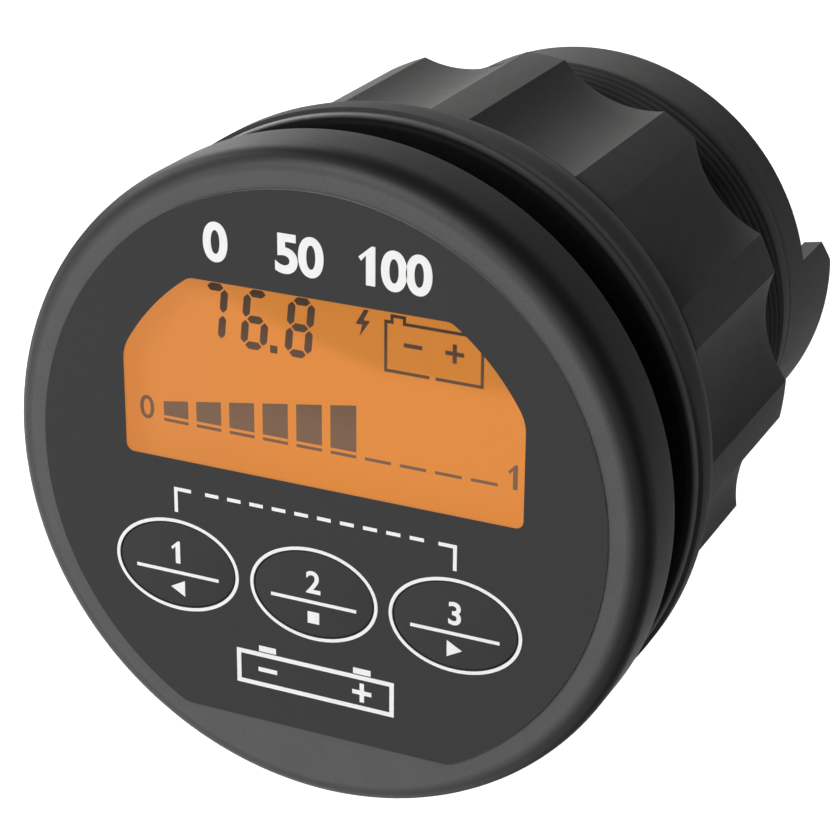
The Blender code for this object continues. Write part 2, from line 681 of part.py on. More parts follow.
def make_main_board(parent):
    """Axial board with a tongue in the socket, and the parts that stand on it."""
    under = MAIN_BOARD_HEIGHT - BOARD_THICKNESS / 2
    half = MAIN_BOARD_HALF_WIDTH
    tongue = TONGUE_HALF_WIDTH
    outline = ((-tongue, TONGUE_FRONT), (tongue, TONGUE_FRONT), (tongue, MAIN_BOARD_FRONT),
               (half, MAIN_BOARD_FRONT), (half, MAIN_BOARD_BACK), (-half, MAIN_BOARD_BACK),
               (-half, MAIN_BOARD_FRONT), (-tongue, MAIN_BOARD_FRONT))
    board = extruded([(x, y, under) for x, y in outline], (0, 0, BOARD_THICKNESS))
    add_piece("main_board", board, "board", parent)
    seat = under + BOARD_THICKNESS + GAP
    for name, size, place in (("alarm_relay", RELAY_SIZE, RELAY_PLACE),
                              ("measuring_chip", MEASURING_CHIP_SIZE, MEASURING_CHIP_PLACE)):
        add_piece(name, block((*place, seat + size[2] / 2), size), "component", parent)
    can = standing(((CAPACITOR_RADIUS, 0), (CAPACITOR_RADIUS, CAPACITOR_HEIGHT)), CAPACITOR_PLACE, seat)
    add_piece("supply_capacitor", can, "component", parent)
    bobbin = ((CHOKE_RADIUS, 0), (CHOKE_RADIUS, CHOKE_LIP), (CHOKE_CORE_RADIUS, CHOKE_LIP),
              (CHOKE_CORE_RADIUS, CHOKE_HEIGHT - CHOKE_LIP), (CHOKE_RADIUS, CHOKE_HEIGHT - CHOKE_LIP),
              (CHOKE_RADIUS, CHOKE_HEIGHT))
    add_piece("filter_choke", standing(bobbin, CHOKE_PLACE, seat), "component", parent)
    make_header(seat, parent)


def make_header(seat, parent):
    """Rear connector body on the main board, and its angled pins."""
    half = HEADER_HALF_WIDTH
    body = slab(rectangle((-half, seat), (half, HEADER_TOP)), HEADER_FRONT, HEADER_BACK)
    header = add_piece("terminal_header", body, "component", parent)
    inner = half - HEADER_WALL
    cavity = rectangle((-inner, seat + HEADER_WALL), (inner, HEADER_TOP - HEADER_WALL))
    cut(header, "cavity", slab(cavity, HEADER_FLOOR, HEADER_BACK + HEADER_WALL))
    for number in range(PIN_COUNT):
        x = (number - (PIN_COUNT - 1) / 2) * PIN_PITCH
        hole_half = PIN_WIDTH / 2 + GAP
        low = (x - hole_half, PIN_HEIGHT - hole_half)
        high = (x + hole_half, PIN_HEIGHT + hole_half)
        hole = slab(rectangle(low, high), HEADER_FRONT - HEADER_WALL, HEADER_FLOOR + HEADER_WALL)
        cut(header, "pin_hole_" + str(number + 1), hole)
        make_pin("terminal_pin_" + str(number + 1), x, seat, parent)


def make_pin(name, x, seat, parent):
    """One angled pin: a leg up from the board and a blade through the header."""
    half = PIN_WIDTH / 2
    leg_back = PIN_LEG_FRONT + PIN_WIDTH
    outline = ((PIN_LEG_FRONT, seat), (leg_back, seat), (leg_back, PIN_HEIGHT - half),
               (PIN_TIP, PIN_HEIGHT - half), (PIN_TIP, PIN_HEIGHT + half), (PIN_LEG_FRONT, PIN_HEIGHT + half))
    blade = extruded([(x - half, y, z) for y, z in outline], (PIN_WIDTH, 0, 0))
    add_piece(name, blade, "brass", parent)


def make_rear_cover(parent):
    """Rear cover with the connector opening, two pillars to the front board, and their screws."""
    disc = slab(oval(COVER_RADIUS, COVER_RADIUS, BARREL_SEGMENTS), COVER_FRONT, COVER_BACK)
    cover = add_piece("rear_cover", disc, "barrel", parent)
    seat = MAIN_BOARD_HEIGHT + BOARD_THICKNESS / 2 + GAP
    half = HEADER_HALF_WIDTH + GAP
    opening = rectangle((-half, seat - GAP), (half, HEADER_TOP + GAP))
    cut(cover, "connector", slab(opening, COVER_FRONT - HEADER_WALL, COVER_BACK + HEADER_WALL))
    hole = SCREW_RADIUS + GAP
    pillar_front = DISPLAY_BOARD_FRONT + BOARD_THICKNESS + GAP
    pillar_back = COVER_FRONT - GAP
    head_front = COVER_BACK + GAP
    head_back = head_front + SCREW_HEAD_DEPTH
    for side, sign in (("left", -1), ("right", 1)):
        centre = (sign * PILLAR_SIDE, PILLAR_HEIGHT)
        bore = ((hole, hole, COVER_FRONT - HEADER_WALL), (hole, hole, COVER_BACK + HEADER_WALL))
        cut(cover, "screw_" + side, stacked(bore, SMALL_SEGMENTS, centre))
        rod = ((PILLAR_RADIUS, PILLAR_RADIUS, pillar_front), (PILLAR_RADIUS, PILLAR_RADIUS, pillar_back))
        pillar = add_piece("pillar_" + side, stacked(rod, SMALL_SEGMENTS, centre), "steel", parent)
        tapped = ((hole, hole, SCREW_TIP - GAP), (hole, hole, pillar_back + GAP))
        cut(pillar, "tapped_hole", stacked(tapped, SMALL_SEGMENTS, centre))
        levels = ((SCREW_RADIUS, SCREW_RADIUS, SCREW_TIP), (SCREW_RADIUS, SCREW_RADIUS, head_front),
                  (SCREW_HEAD_RADIUS, SCREW_HEAD_RADIUS, head_front),
                  (SCREW_HEAD_RADIUS, SCREW_HEAD_RADIUS, head_back))
        screw = add_piece("cover_screw_" + side, stacked(levels, SMALL_SEGMENTS, centre), "steel", parent)
        slot_size = (SCREW_SLOT_LENGTH, 2 * SCREW_SLOT_DEPTH, SCREW_SLOT_WIDTH)
        cut(screw, "slot", block((centre[0], head_back, centre[1]), slot_size))


def main():
    """Build every piece of the gauge head."""
    clear_scene()
    gauge = add_empty("gauge_axis", (0, 0, 0))
    make_housing(gauge)
    make_panel_gasket(gauge)
    make_front_bezel(gauge)
    make_face_overlay(gauge)
    make_display_stack(gauge)
    for side, x in KEY_PLACES.items():
        make_key(side, x, gauge)
    make_display_board(gauge)
    make_main_board(gauge)
    make_rear_cover(gauge)
    washer_axis = add_empty("washer_axis", (0, 0, 0), gauge)
    make_clamp_washer(washer_axis)
    make_lock_ring(add_empty("ring_axis", (0, 0, 0), washer_axis))


main()
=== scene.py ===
"""The looks of a round battery gauge head, modelled over its fixed frame.

Metres, +Z up. The gauge's axis is the Y axis and its face looks toward -Y.
"""
import json
import math

import bmesh
import bpy
from bpy.props import FloatProperty, FloatVectorProperty, IntProperty, PointerProperty
from bpy.types import Operator, Panel, PropertyGroup
from mathutils import Matrix, Vector


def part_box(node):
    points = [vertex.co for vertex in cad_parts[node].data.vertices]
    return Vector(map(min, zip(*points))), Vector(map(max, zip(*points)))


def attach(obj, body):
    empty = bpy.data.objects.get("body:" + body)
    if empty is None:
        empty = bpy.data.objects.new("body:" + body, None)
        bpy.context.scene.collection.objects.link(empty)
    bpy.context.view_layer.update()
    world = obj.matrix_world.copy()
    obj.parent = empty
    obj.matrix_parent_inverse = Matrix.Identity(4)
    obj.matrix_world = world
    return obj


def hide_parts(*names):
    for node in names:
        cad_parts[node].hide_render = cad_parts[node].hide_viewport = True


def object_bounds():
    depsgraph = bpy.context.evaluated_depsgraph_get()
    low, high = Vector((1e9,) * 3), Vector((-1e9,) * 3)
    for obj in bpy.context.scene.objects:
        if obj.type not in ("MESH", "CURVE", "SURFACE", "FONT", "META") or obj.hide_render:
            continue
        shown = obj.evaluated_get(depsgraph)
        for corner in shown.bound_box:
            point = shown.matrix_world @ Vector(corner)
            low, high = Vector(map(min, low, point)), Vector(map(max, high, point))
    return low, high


bl_info = {
    "name": "Battery gauge head",
    "version": (1, 0, 0),
    "blender": (4, 5, 0),
    "location": "View3D > Sidebar > Gauge",
    "description": "Dresses a panel gauge with a lit display, keys, a threaded barrel and a lock ring",
    "category": "Object",
}

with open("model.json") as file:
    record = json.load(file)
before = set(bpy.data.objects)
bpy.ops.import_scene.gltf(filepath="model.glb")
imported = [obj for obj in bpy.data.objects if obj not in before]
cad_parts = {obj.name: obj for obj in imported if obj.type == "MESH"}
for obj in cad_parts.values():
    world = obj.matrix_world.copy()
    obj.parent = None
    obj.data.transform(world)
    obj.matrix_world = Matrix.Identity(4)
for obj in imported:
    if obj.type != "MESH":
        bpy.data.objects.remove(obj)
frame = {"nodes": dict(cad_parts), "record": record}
CAD_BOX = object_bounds()

# Places that come from the frame
BEZEL_LOW, BEZEL_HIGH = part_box("front_bezel")
SHEET_LOW, SHEET_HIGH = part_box("face_overlay")
LENS_LOW, LENS_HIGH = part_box("display_window")
LCD_LOW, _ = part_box("lcd_glass")
HOUSING_LOW, HOUSING_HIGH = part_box("housing")
WASHER_LOW, WASHER_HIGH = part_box("clamp_washer")
RING_LOW, RING_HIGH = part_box("lock_ring")
PIN_LOW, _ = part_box("terminal_pin_1")
KEY_SIDES = ("left", "centre", "right")

MM = 0.001
FULL_TURN = 2 * math.pi
WELD = 2e-6
GAUGE = "gauge_body"


def length(name, default, description):
    """A size in metres for the sidebar."""
    return FloatProperty(name=name, description=description, default=default, unit="LENGTH", precision=5)


def angle(name, degrees, description):
    """An angle for the sidebar."""
    return FloatProperty(name=name, description=description, default=math.radians(degrees), unit="ROTATION")


def number(name, default, description):
    """A count for the sidebar."""
    return IntProperty(name=name, description=description, default=default, min=1)


def plain(name, default, description):
    """A bare number for the sidebar."""
    return FloatProperty(name=name, description=description, default=default)


def tint(name, default, description):
    """A linear colour for the sidebar."""
    return FloatVectorProperty(name=name, description=description, default=default, subtype="COLOR", size=3,
                               min=0.0, max=1.0)


class FaceSettings(PropertyGroup):
    """Bezel, face sheet, window and keys."""

    shoulder_start: length("Shoulder start", 0.0300, "Radius where the bezel's flat front ends")
    shoulder_depth: length("Shoulder depth", 0.0024, "How far back the bezel's rounded shoulder reaches")
    label_radius: length("Sheet radius", 0.02842, "Radius of the face sheet")
    label_chord: length("Sheet flat", 0.02485, "Distance from the axis down to the flat of the face sheet")
    label_corner: length("Sheet corner", 0.0025, "Corner radius at the ends of the flat")
    window_shift: length("Window shift", 0.00055, "How far the window's middle lies right of the axis")
    window_half: length("Window half width", 0.02002, "Half the width of the display window")
    window_bottom: length("Window bottom", 0.00055, "Height of the window's lower edge")
    window_top: length("Window top", 0.0187, "Height of the window's upper edge")
    window_arc: length("Window side arc", 0.0227, "Radius of the arcs between the window's sides and top")
    key_half_width: length("Key half width", 0.00615, "Half the width of a key opening")
    key_half_height: length("Key half height", 0.0043, "Half the height of a key opening")
    key_ring: length("Key ring", 0.00042, "Distance from a key opening to the outside of its white ring")
    key_play: length("Key play", 0.00006, "Gap between a key and the face sheet")


class DisplaySettings(PropertyGroup):
    """What the display shows."""

    digit_height: length("Digit height", 0.0058, "Height of a large digit")
    digit_width: length("Digit width", 0.0027, "Width of a large digit")
    digit_stroke: length("Digit stroke", 0.00074, "Thickness of a digit's segments")
    digit_base: length("Digit base", 0.0118, "Height of the digits' lower edge")
    digit_lean: plain("Digit lean", 0.10, "Sideways lean of a digit for each unit of height")
    bar_count: number("Bars", 6, "How many bars of the charge scale are filled")
    dash_count: number("Dashes", 10, "How many steps the charge scale has")
    bar_pitch: length("Bar pitch", 0.00347, "Distance from one bar to the next")
    bar_width: length("Bar width", 0.0026, "Width of a bar")
    bar_left: length("First bar", -0.0168, "Left edge of the first bar")
    bar_base: length("Bar base", 0.00362, "Height of the bars' lower edge")
    bar_top: length("First bar top", 0.0050, "Height of the first bar's upper edge")
    bar_rise: plain("Bar rise", 0.16, "Rise of the bars' upper edges for each unit of width")
    dash_height: length("Dash height", 0.00317, "Height of the row of dashes")
    dash_stroke: length("Dash stroke", 0.0003, "Thickness of a dash")


class BarrelSettings(PropertyGroup):
    """Housing behind the bezel."""

    root: length("Thread root", 0.0251, "Radius of the thread's root and of the plain band")
    crest: length("Thread crest", 0.02585, "Radius of the thread's crest")
    bore: length("Barrel bore", 0.0231, "Inner radius of the barrel")
    pitch: length("Thread pitch", 0.0015, "Advance of the thread in one turn")
    thread_start: length("Thread start", 0.0020, "Where the thread begins behind the flange")
    thread_end: length("Thread end", 0.0536, "Where the thread has faded into the plain band")
    run_out_turn: plain("Run-out groove", 35.9, "Turns from the thread's start to its last groove")
    run_out_depth: length("Run-out depth", 0.00025, "Depth of the last groove, cut into the plain band")
    rim: length("Rear rim", 0.06165, "Where the round rim of the barrel ends")
    shroud_from: angle("Shroud start", 80.0, "Angle from the top to each end of the rear shroud")
    shroud_corner: length("Shroud corner", 0.0030, "Size of the slanted rear corners of the shroud")
    shroud_slant: angle("Shroud slant", 7.0, "Angle that a slanted corner takes up")
    groove_inner: length("Seal groove inside", 0.0268, "Inner radius of the seal's groove")
    groove_outer: length("Seal groove outside", 0.0288, "Outer radius of the seal's groove")
    groove_depth: length("Seal groove depth", 0.0007, "Depth of the seal's groove")


class RingSettings(PropertyGroup):
    """Lock ring."""

    flute_count: number("Flutes", 12, "How many flutes the lock ring has")
    land_angle: angle("Land width", 7.9, "Width of the land between two flutes")
    land_place: angle("Land place", 5.27, "Angle from the top to the middle of the first land")
    land_radius: length("Land radius", 0.0300, "Radius of the lands")
    cut_radius: length("Flute radius", 0.0118, "Radius of a flute's round floor")
    cut_distance: length("Flute centre", 0.03974, "Distance from the axis to the centre of a flute's floor")
    neck: length("Neck", 0.01545, "Where the front cone ends and the flutes begin")
    bore: length("Ring bore", 0.02615, "Radius of the root of the ring's inside thread")
    crest: length("Ring crest", 0.0254, "Radius of the crest of the ring's inside thread")
    sleeve: length("Thread sleeve", 0.0272, "Outer radius of the wall that carries the inside thread")


class FinishSettings(PropertyGroup):
    """Colours of the finishes, linear."""

    # The bezel's three tones are painted light: the grained front lighter as painted sheen, the shoulder
    # darker than the skirt as painted shade
    bezel: tint("Bezel", (0.012, 0.012, 0.0125), "Smooth black plastic of the bezel's shoulder")
    grain: tint("Bezel front", (0.086, 0.086, 0.088), "Grained front of the bezel, which looks lighter")
    skirt: tint("Bezel skirt", (0.031, 0.031, 0.0315), "Satin black plastic of the bezel's skirt")
    barrel: tint("Barrel", (0.058, 0.0575, 0.0565), "Satin black plastic of the housing and the lock ring")
    sheet: tint("Face sheet", (0.048, 0.048, 0.0485), "Dark ground of the face sheet and the keys")
    # The sheet's cut edge tone is partly the clear film's own edge and partly a painted highlight
    cut_edge: tint("Sheet edge", (0.30, 0.30, 0.30), "Cut edge of the face sheet")
    ink: tint("White print", (0.90, 0.90, 0.89), "White print on the face")
    glow: tint("Display glow", (0.83, 0.29, 0.062), "Lit ground of the display")
    segment: tint("Display segment", (0.20, 0.115, 0.072), "Dark segments of the display, at its lower edge")
    board: tint("Circuit board", (0.020, 0.115, 0.045), "Coating of the circuit boards")
    moulding: tint("Component", (0.022, 0.022, 0.023), "Moulded cases of the components")
    milky: tint("Milky plastic", (0.78, 0.77, 0.72), "Light guide and display holder")
    rubber: tint("Rubber", (0.005, 0.005, 0.005), "Seals and the clamp washer")
    # The washer rim's tone is a painted highlight along its edge
    rim: tint("Washer rim", (0.085, 0.085, 0.088), "Rubbed outer rim of the clamp washer")
    steel: tint("Steel", (0.56, 0.56, 0.57), "Plated screws and pillars")
    brass: tint("Brass", (0.72, 0.50, 0.19), "Terminal pins")


class StageSettings(PropertyGroup):
    """Camera and floor."""

    target: FloatVectorProperty(name="Target", description="Point that the camera looks at",
                                default=(0.010574, -0.00735, 0.009129), subtype="XYZ", unit="LENGTH")
    distance: length("Distance", 0.2202, "Distance from the camera to the target")
    azimuth: angle("Azimuth", 24.59, "How far the camera stands to the right of the gauge's axis")
    elevation: angle("Elevation", 22.96, "How far the camera stands above the gauge's axis")
    roll: angle("Roll", 0.5565, "Turn of the camera about its line of sight")
    lens: plain("Lens", 108.0, "Focal length in millimetres on a 36 mm sensor")
    floor_drop: length("Floor drop", 0.060, "How far the floor lies below the gauge")


SETTINGS = {
    "gauge_face": FaceSettings,
    "gauge_display": DisplaySettings,
    "gauge_barrel": BarrelSettings,
    "gauge_ring": RingSettings,
    "gauge_finish": FinishSettings,
    "gauge_stage": StageSettings,
}


class Field:
    """A number in a node tree. Arithmetic on it adds Math nodes to the tree."""

    def __init__(self, tree, socket):
        self.tree = tree
        self.socket = socket

    def math(self, operation, *others):
        """One Math node with this number as its first input."""
        node = self.tree.nodes.new("ShaderNodeMath")
        node.operation = operation
        for place, value in enumerate((self, *others)):
            if isinstance(value, Field):
                self.tree.links.new(value.socket, node.inputs[place])
            else:
                node.inputs[place].default_value = value
        return Field(self.tree, node.outputs[0])

    def __add__(self, other):
        return self.math("ADD", other)

    def __sub__(self, other):
        return self.math("SUBTRACT", other)

    def __mul__(self, other):
        return self.math("MULTIPLY", other)

    def __truediv__(self, other):
        return self.math("DIVIDE", other)

    def pick(self, yes, no):
        """yes where this number is 1, no where it is 0."""
        return self * (yes - no) + no

    def between(self, low, high):
        """This number, held between two others."""
        return self.math("MAXIMUM", low).math("MINIMUM", high)

    def ramp(self, start, width):
        """A climb from 0 at a start to 1 a width further on, or the other way for a width below 0."""
        return ((self - start) / width).between(0.0, 1.0)


class ShapeTree:
    """A Geometry Nodes tree with named inputs, built node by node."""

    SOCKETS = {"number": "NodeSocketFloat", "count": "NodeSocketInt", "finish": "NodeSocketMaterial"}

    def __init__(self, name, inputs):
        self.tree = bpy.data.node_groups.new(name, "GeometryNodeTree")
        self.tree.is_modifier = True
        self.tree.interface.new_socket("Geometry", in_out="INPUT", socket_type="NodeSocketGeometry")
        self.identifiers = {}
        for title, kind in inputs.items():
            socket = self.tree.interface.new_socket(title, in_out="INPUT", socket_type=self.SOCKETS[kind])
            self.identifiers[title] = socket.identifier
        self.tree.interface.new_socket("Geometry", in_out="OUTPUT", socket_type="NodeSocketGeometry")
        self.given = self.tree.nodes.new("NodeGroupInput")

    def add(self, kind, **links):
        """A node with its inputs linked or set by name, with _ for a space."""
        node = self.tree.nodes.new(kind)
        for title, value in links.items():
            socket = node.inputs[title.replace("_", " ")]
            if isinstance(value, Field):
                self.tree.links.new(value.socket, socket)
            elif isinstance(value, bpy.types.NodeSocket):
                self.tree.links.new(value, socket)
            else:
                socket.default_value = value
        return node

    def value(self, title):
        """A named input as a number."""
        return Field(self.tree, self.given.outputs[title])

    def index(self):
        """The number of each point."""
        return Field(self.tree, self.add("GeometryNodeInputIndex").outputs[0])

    def vector(self, x, y, z):
        """A vector from three numbers."""
        return self.add("ShaderNodeCombineXYZ", X=x, Y=y, Z=z).outputs[0]

    def parts(self, vector):
        """The three numbers of a vector."""
        split = self.add("ShaderNodeSeparateXYZ", Vector=vector)
        return [Field(self.tree, socket) for socket in split.outputs]

    def finish(self, geometry):
        """Realize, set the finish and send the shape out."""
        real = self.add("GeometryNodeRealizeInstances", Geometry=geometry)
        painted = self.add("GeometryNodeSetMaterial", Geometry=real.outputs[0],
                           Material=self.given.outputs["Finish"])
        result = self.tree.nodes.new("NodeGroupOutput")
        self.tree.links.new(painted.outputs[0], result.inputs[0])

    def run(self, name, mesh, values):
        """The plain mesh that the tree makes of a start mesh and a set of input values."""
        maker = bpy.data.objects.new(name, mesh)
        bpy.context.scene.collection.objects.link(maker)
        modifier = maker.modifiers.new("Shape", "NODES")
        modifier.node_group = self.tree
        for title, value in values.items():
            modifier[self.identifiers[title]] = value
        made = plain_copy(maker)
        maker.modifiers.remove(modifier)
        discard(maker)
        return made


def polar_grid(shape, columns, rows):
    """A grid with its points' column and row numbers."""
    grid = shape.add("GeometryNodeMeshGrid", Vertices_X=columns + 1, Vertices_Y=rows + 1)
    column = ((shape.index() + 0.5) / (rows + 1)).math("FLOOR")
    row = shape.index() - column * (rows + 1)
    return grid.outputs[0], column, row


def wrapped(shape, grid, radius, turn, y):
    """Bend a grid round the Y axis and weld its seams."""
    place = shape.vector(radius * turn.math("SINE"), y, radius * turn.math("COSINE"))
    bent = shape.add("GeometryNodeSetPosition", Geometry=grid, Position=place)
    return shape.add("GeometryNodeMergeByDistance", Geometry=bent.outputs[0], Distance=WELD).outputs[0]


def section_tree(fluted):
    """Sweep a closed section of (radius, y, flute share) points round the Y axis."""
    inputs = {"Columns": "count", "Finish": "finish"}
    if fluted:
        names = ("Flutes", "Land angle", "Land place", "Land columns", "Flute columns", "Land radius",
                 "Cut radius", "Cut distance", "Edge round")
        inputs |= {name: "number" for name in names}
    shape = ShapeTree("Fluted section" if fluted else "Turned section", inputs)
    section = shape.given.outputs["Geometry"]
    size = shape.add("GeometryNodeAttributeDomainSize", Geometry=section)
    rows = Field(shape.tree, size.outputs["Point Count"])
    grid, column, row = polar_grid(shape, shape.value("Columns"), rows)
    sample = shape.add("GeometryNodeSampleIndex", Geometry=section)
    sample.data_type = "FLOAT_VECTOR"
    place = shape.add("GeometryNodeInputPosition").outputs[0]
    shape.tree.links.new(place, sample.inputs["Value"])
    shape.tree.links.new(row.math("FLOORED_MODULO", rows).socket, sample.inputs["Index"])
    radius, y, share = shape.parts(sample.outputs[0])
    turn = column / shape.value("Columns") * FULL_TURN
    if fluted:
        land = shape.value("Land columns")
        flute = shape.value("Flute columns")
        period = shape.value("Flutes").math("POWER", -1.0) * FULL_TURN
        number_of_land = (column / (land + flute)).math("FLOOR")
        step = column - number_of_land * (land + flute)
        on_flute = step.math("GREATER_THAN", land)
        flute_angle = period - shape.value("Land angle")
        along_land = step / land * shape.value("Land angle")
        along_flute = (step - land) / flute * flute_angle
        start = shape.value("Land place") - shape.value("Land angle") * 0.5 + number_of_land * period
        turn = start + on_flute.pick(shape.value("Land angle") + along_flute, along_land)
        across = along_flute - flute_angle * 0.5
        reach = shape.value("Cut distance") * across.math("SINE")
        depth = (shape.value("Cut radius").math("POWER", 2.0) - reach.math("POWER", 2.0)).math("SQRT")
        floor = shape.value("Cut distance") * across.math("COSINE") - depth
        top = shape.value("Land radius")
        smooth = top.math("SMOOTH_MIN", floor, shape.value("Edge round"))
        radius = radius - share * on_flute * (top - smooth)
    shape.finish(wrapped(shape, grid, radius, turn, y))
    return shape


# Form of a thread's ridge, and the shares of a turn over which the last groove runs and fades
RIDGE_SLOPE = 1.5
RIDGE_LIFT = 1.25
GROOVE_SPAN = (0.06, 0.70)
GROOVE_FADE = 0.1


def thread_tree():
    """A tube with a right-hand thread on one side, whose rows follow the helix."""
    names = ("Root", "Crest", "Wall", "Pitch", "Start", "End", "Thread start", "Thread end", "Fade",
             "Groove turn", "Groove depth")
    inputs = {"Columns": "count", "Rows per turn": "count", "Finish": "finish"}
    shape = ShapeTree("Threaded tube", inputs | {name: "number" for name in names})
    pitch = shape.value("Pitch")
    start = shape.value("Start")
    end = shape.value("End")
    per_turn = shape.value("Rows per turn")
    last = (((end - start) / pitch + 1.0) * per_turn).math("CEIL")
    grid, column, row = polar_grid(shape, shape.value("Columns"), last + 3.0)
    share = column / shape.value("Columns")
    along = row / per_turn * pitch - pitch
    outside = (start + along + share * pitch).between(start, end)
    # After the last row of the thread, two rows lie on the wall, at its back and front, and one closes it
    back_again = row.math("GREATER_THAN", last + 1.5)
    y = back_again.pick(start, outside)
    turns = (start + along - shape.value("Thread start")) / pitch
    phase = turns.math("FRACT")
    ridge = ((phase * 2.0 - 1.0).math("ABSOLUTE") * -RIDGE_SLOPE + RIDGE_LIFT).between(0.0, 1.0)
    rise = outside.ramp(shape.value("Thread start"), shape.value("Fade"))
    fall = ((shape.value("Thread end") - outside) / shape.value("Fade")).between(0.0, 1.0)
    root = shape.value("Root")
    rows_off = (turns - shape.value("Groove turn")).math("ABSOLUTE") * per_turn
    near_groove = (rows_off * -1.0 + 1.0).between(0.0, 1.0)
    groove_start, groove_end = GROOVE_SPAN
    groove_run = share.ramp(groove_start, GROOVE_FADE) * share.ramp(groove_end, -GROOVE_FADE)
    surface = root + (shape.value("Crest") - root) * ridge * rise * fall
    surface = surface - shape.value("Groove depth") * near_groove * groove_run
    on_wall = row.math("GREATER_THAN", last + 0.5) * row.math("LESS_THAN", last + 2.5)
    radius = on_wall.pick(shape.value("Wall"), surface)
    shape.finish(wrapped(shape, grid, radius, share * FULL_TURN, y))
    return shape


def scale_tree():
    """The charge scale: a row of bars under a slanted line, and a row of dashes."""
    names = ("Pitch", "Width", "Left", "Base", "Top", "Rise", "Dash height", "Dash stroke", "Depth",
             "Thickness")
    inputs = {"Bars": "count", "Dashes": "count", "Finish": "finish"}
    shape = ShapeTree("Charge scale", inputs | {name: "number" for name in names})
    width = shape.value("Width")
    middle = shape.value("Left") + width * 0.5
    step = shape.vector(shape.value("Pitch"), 0.0, 0.0)
    both = shape.tree.nodes.new("GeometryNodeJoinGeometry")
    for count, height, stroke in (("Dashes", shape.value("Dash height"), shape.value("Dash stroke")),
                                  ("Bars", shape.value("Base") + MM, MM * 2)):
        first = shape.vector(middle, shape.value("Depth"), height)
        line = shape.add("GeometryNodeMeshLine", Count=shape.value(count), Start_Location=first, Offset=step)
        box = shape.add("GeometryNodeMeshCube", Size=shape.vector(width, shape.value("Thickness"), stroke))
        row = shape.add("GeometryNodeInstanceOnPoints", Points=line.outputs[0], Instance=box.outputs[0])
        real = shape.add("GeometryNodeRealizeInstances", Geometry=row.outputs[0]).outputs[0]
        if count == "Bars":
            x, y, z = shape.parts(shape.add("GeometryNodeInputPosition").outputs[0])
            upper = z.math("GREATER_THAN", shape.value("Base") + MM)
            slanted = shape.value("Top") + (x - shape.value("Left")) * shape.value("Rise")
            cut = shape.vector(x, y, upper.pick(slanted, z))
            real = shape.add("GeometryNodeSetPosition", Geometry=real, Position=cut).outputs[0]
        shape.tree.links.new(real, both.inputs[0])
    shape.finish(both.outputs[0])
    return shape


def row_tree():
    """Copies of a mesh in an even row along X."""
    shape = ShapeTree("Even row", {"Count": "count", "Pitch": "number", "Finish": "finish"})
    step = shape.vector(shape.value("Pitch"), 0.0, 0.0)
    line = shape.add("GeometryNodeMeshLine", Count=shape.value("Count"), Offset=step)
    row = shape.add("GeometryNodeInstanceOnPoints", Points=line.outputs[0],
                    Instance=shape.given.outputs["Geometry"])
    shape.finish(row.outputs[0])
    return shape


def discard(thing):
    """Remove a helper object and what it holds."""
    data = thing.data
    bpy.data.objects.remove(thing, do_unlink=True)
    if data.users == 0:
        store = bpy.data.meshes if isinstance(data, bpy.types.Mesh) else bpy.data.curves
        store.remove(data)


def plain_copy(thing):
    """The evaluated shape of an object as a plain mesh."""
    graph = bpy.context.evaluated_depsgraph_get()
    return bpy.data.meshes.new_from_object(thing.evaluated_get(graph), depsgraph=graph)


def tidy(mesh, degrees):
    """Weld a mesh, turn its faces outward, and shade it smooth up to an edge angle."""
    shape = bmesh.new()
    shape.from_mesh(mesh)
    bmesh.ops.remove_doubles(shape, verts=shape.verts, dist=WELD)
    bmesh.ops.recalc_face_normals(shape, faces=shape.faces)
    shape.to_mesh(mesh)
    shape.free()
    mesh.shade_smooth()
    mesh.set_sharp_from_angle(angle=math.radians(degrees))
    return mesh


def put(name, mesh, finish, body, replaces=(), degrees=35):
    """Place a finished piece on its body."""
    tidy(mesh, degrees)
    mesh.name = name
    mesh.materials.clear()
    mesh.materials.append(finish)
    piece = bpy.data.objects.new(name, mesh)
    bpy.context.scene.collection.objects.link(piece)
    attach(piece, body)
    if replaces:
        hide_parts(*replaces)
    return piece


def section_mesh(points):
    """The start mesh of a swept section: points (radius, y, flute share), or (radius, y) for no flutes."""
    mesh = bpy.data.meshes.new("section")
    mesh.from_pydata([point if len(point) == 3 else (*point, 0.0) for point in points], [], [])
    return mesh


def swept(name, points, finish):
    """A plain turned mesh from a closed section of (radius, y) points."""
    return section_tree(False).run(name, section_mesh(points), {"Columns": ROUND_COLUMNS, "Finish": finish})


def threaded(name, pitch, finish, sizes):
    """A tube with a thread of a given pitch, from its named sizes."""
    values = {"Columns": THREAD_COLUMNS, "Rows per turn": THREAD_ROWS, "Pitch": pitch, "Fade": pitch,
              "Finish": finish}
    return thread_tree().run(name, bpy.data.meshes.new(name + "_start"), values | sizes)


def flat_mesh(name, loops, front, back):
    """A flat shape from closed X-Z loops, with inner loops as holes, between two depths."""
    curve = bpy.data.curves.new(name, "CURVE")
    for loop in loops:
        spline = curve.splines.new("POLY")
        spline.points.add(len(loop) - 1)
        for point, (x, z) in zip(spline.points, loop):
            point.co = (x / MM, z / MM, 0, 1)
        spline.use_cyclic_u = True
    return filled(name, curve, (0, 0), front, back)


def flat_set(name, loops, front, back):
    """Several flat shapes without holes, which may touch, as one mesh."""
    return joined([flat_mesh(name, [loop], front, back) for loop in loops])


# Figures: the font's height of a capital, the step from one to the next, and the outline of a 1
CAP_SHARE = 0.73
FIGURE_PITCH = 0.66
FIGURE_ONE = ((-0.24, 0.70), (0.02, 1.0), (0.12, 1.0), (0.12, 0.0), (-0.04, 0.0), (-0.04, 0.76),
              (-0.17, 0.60))


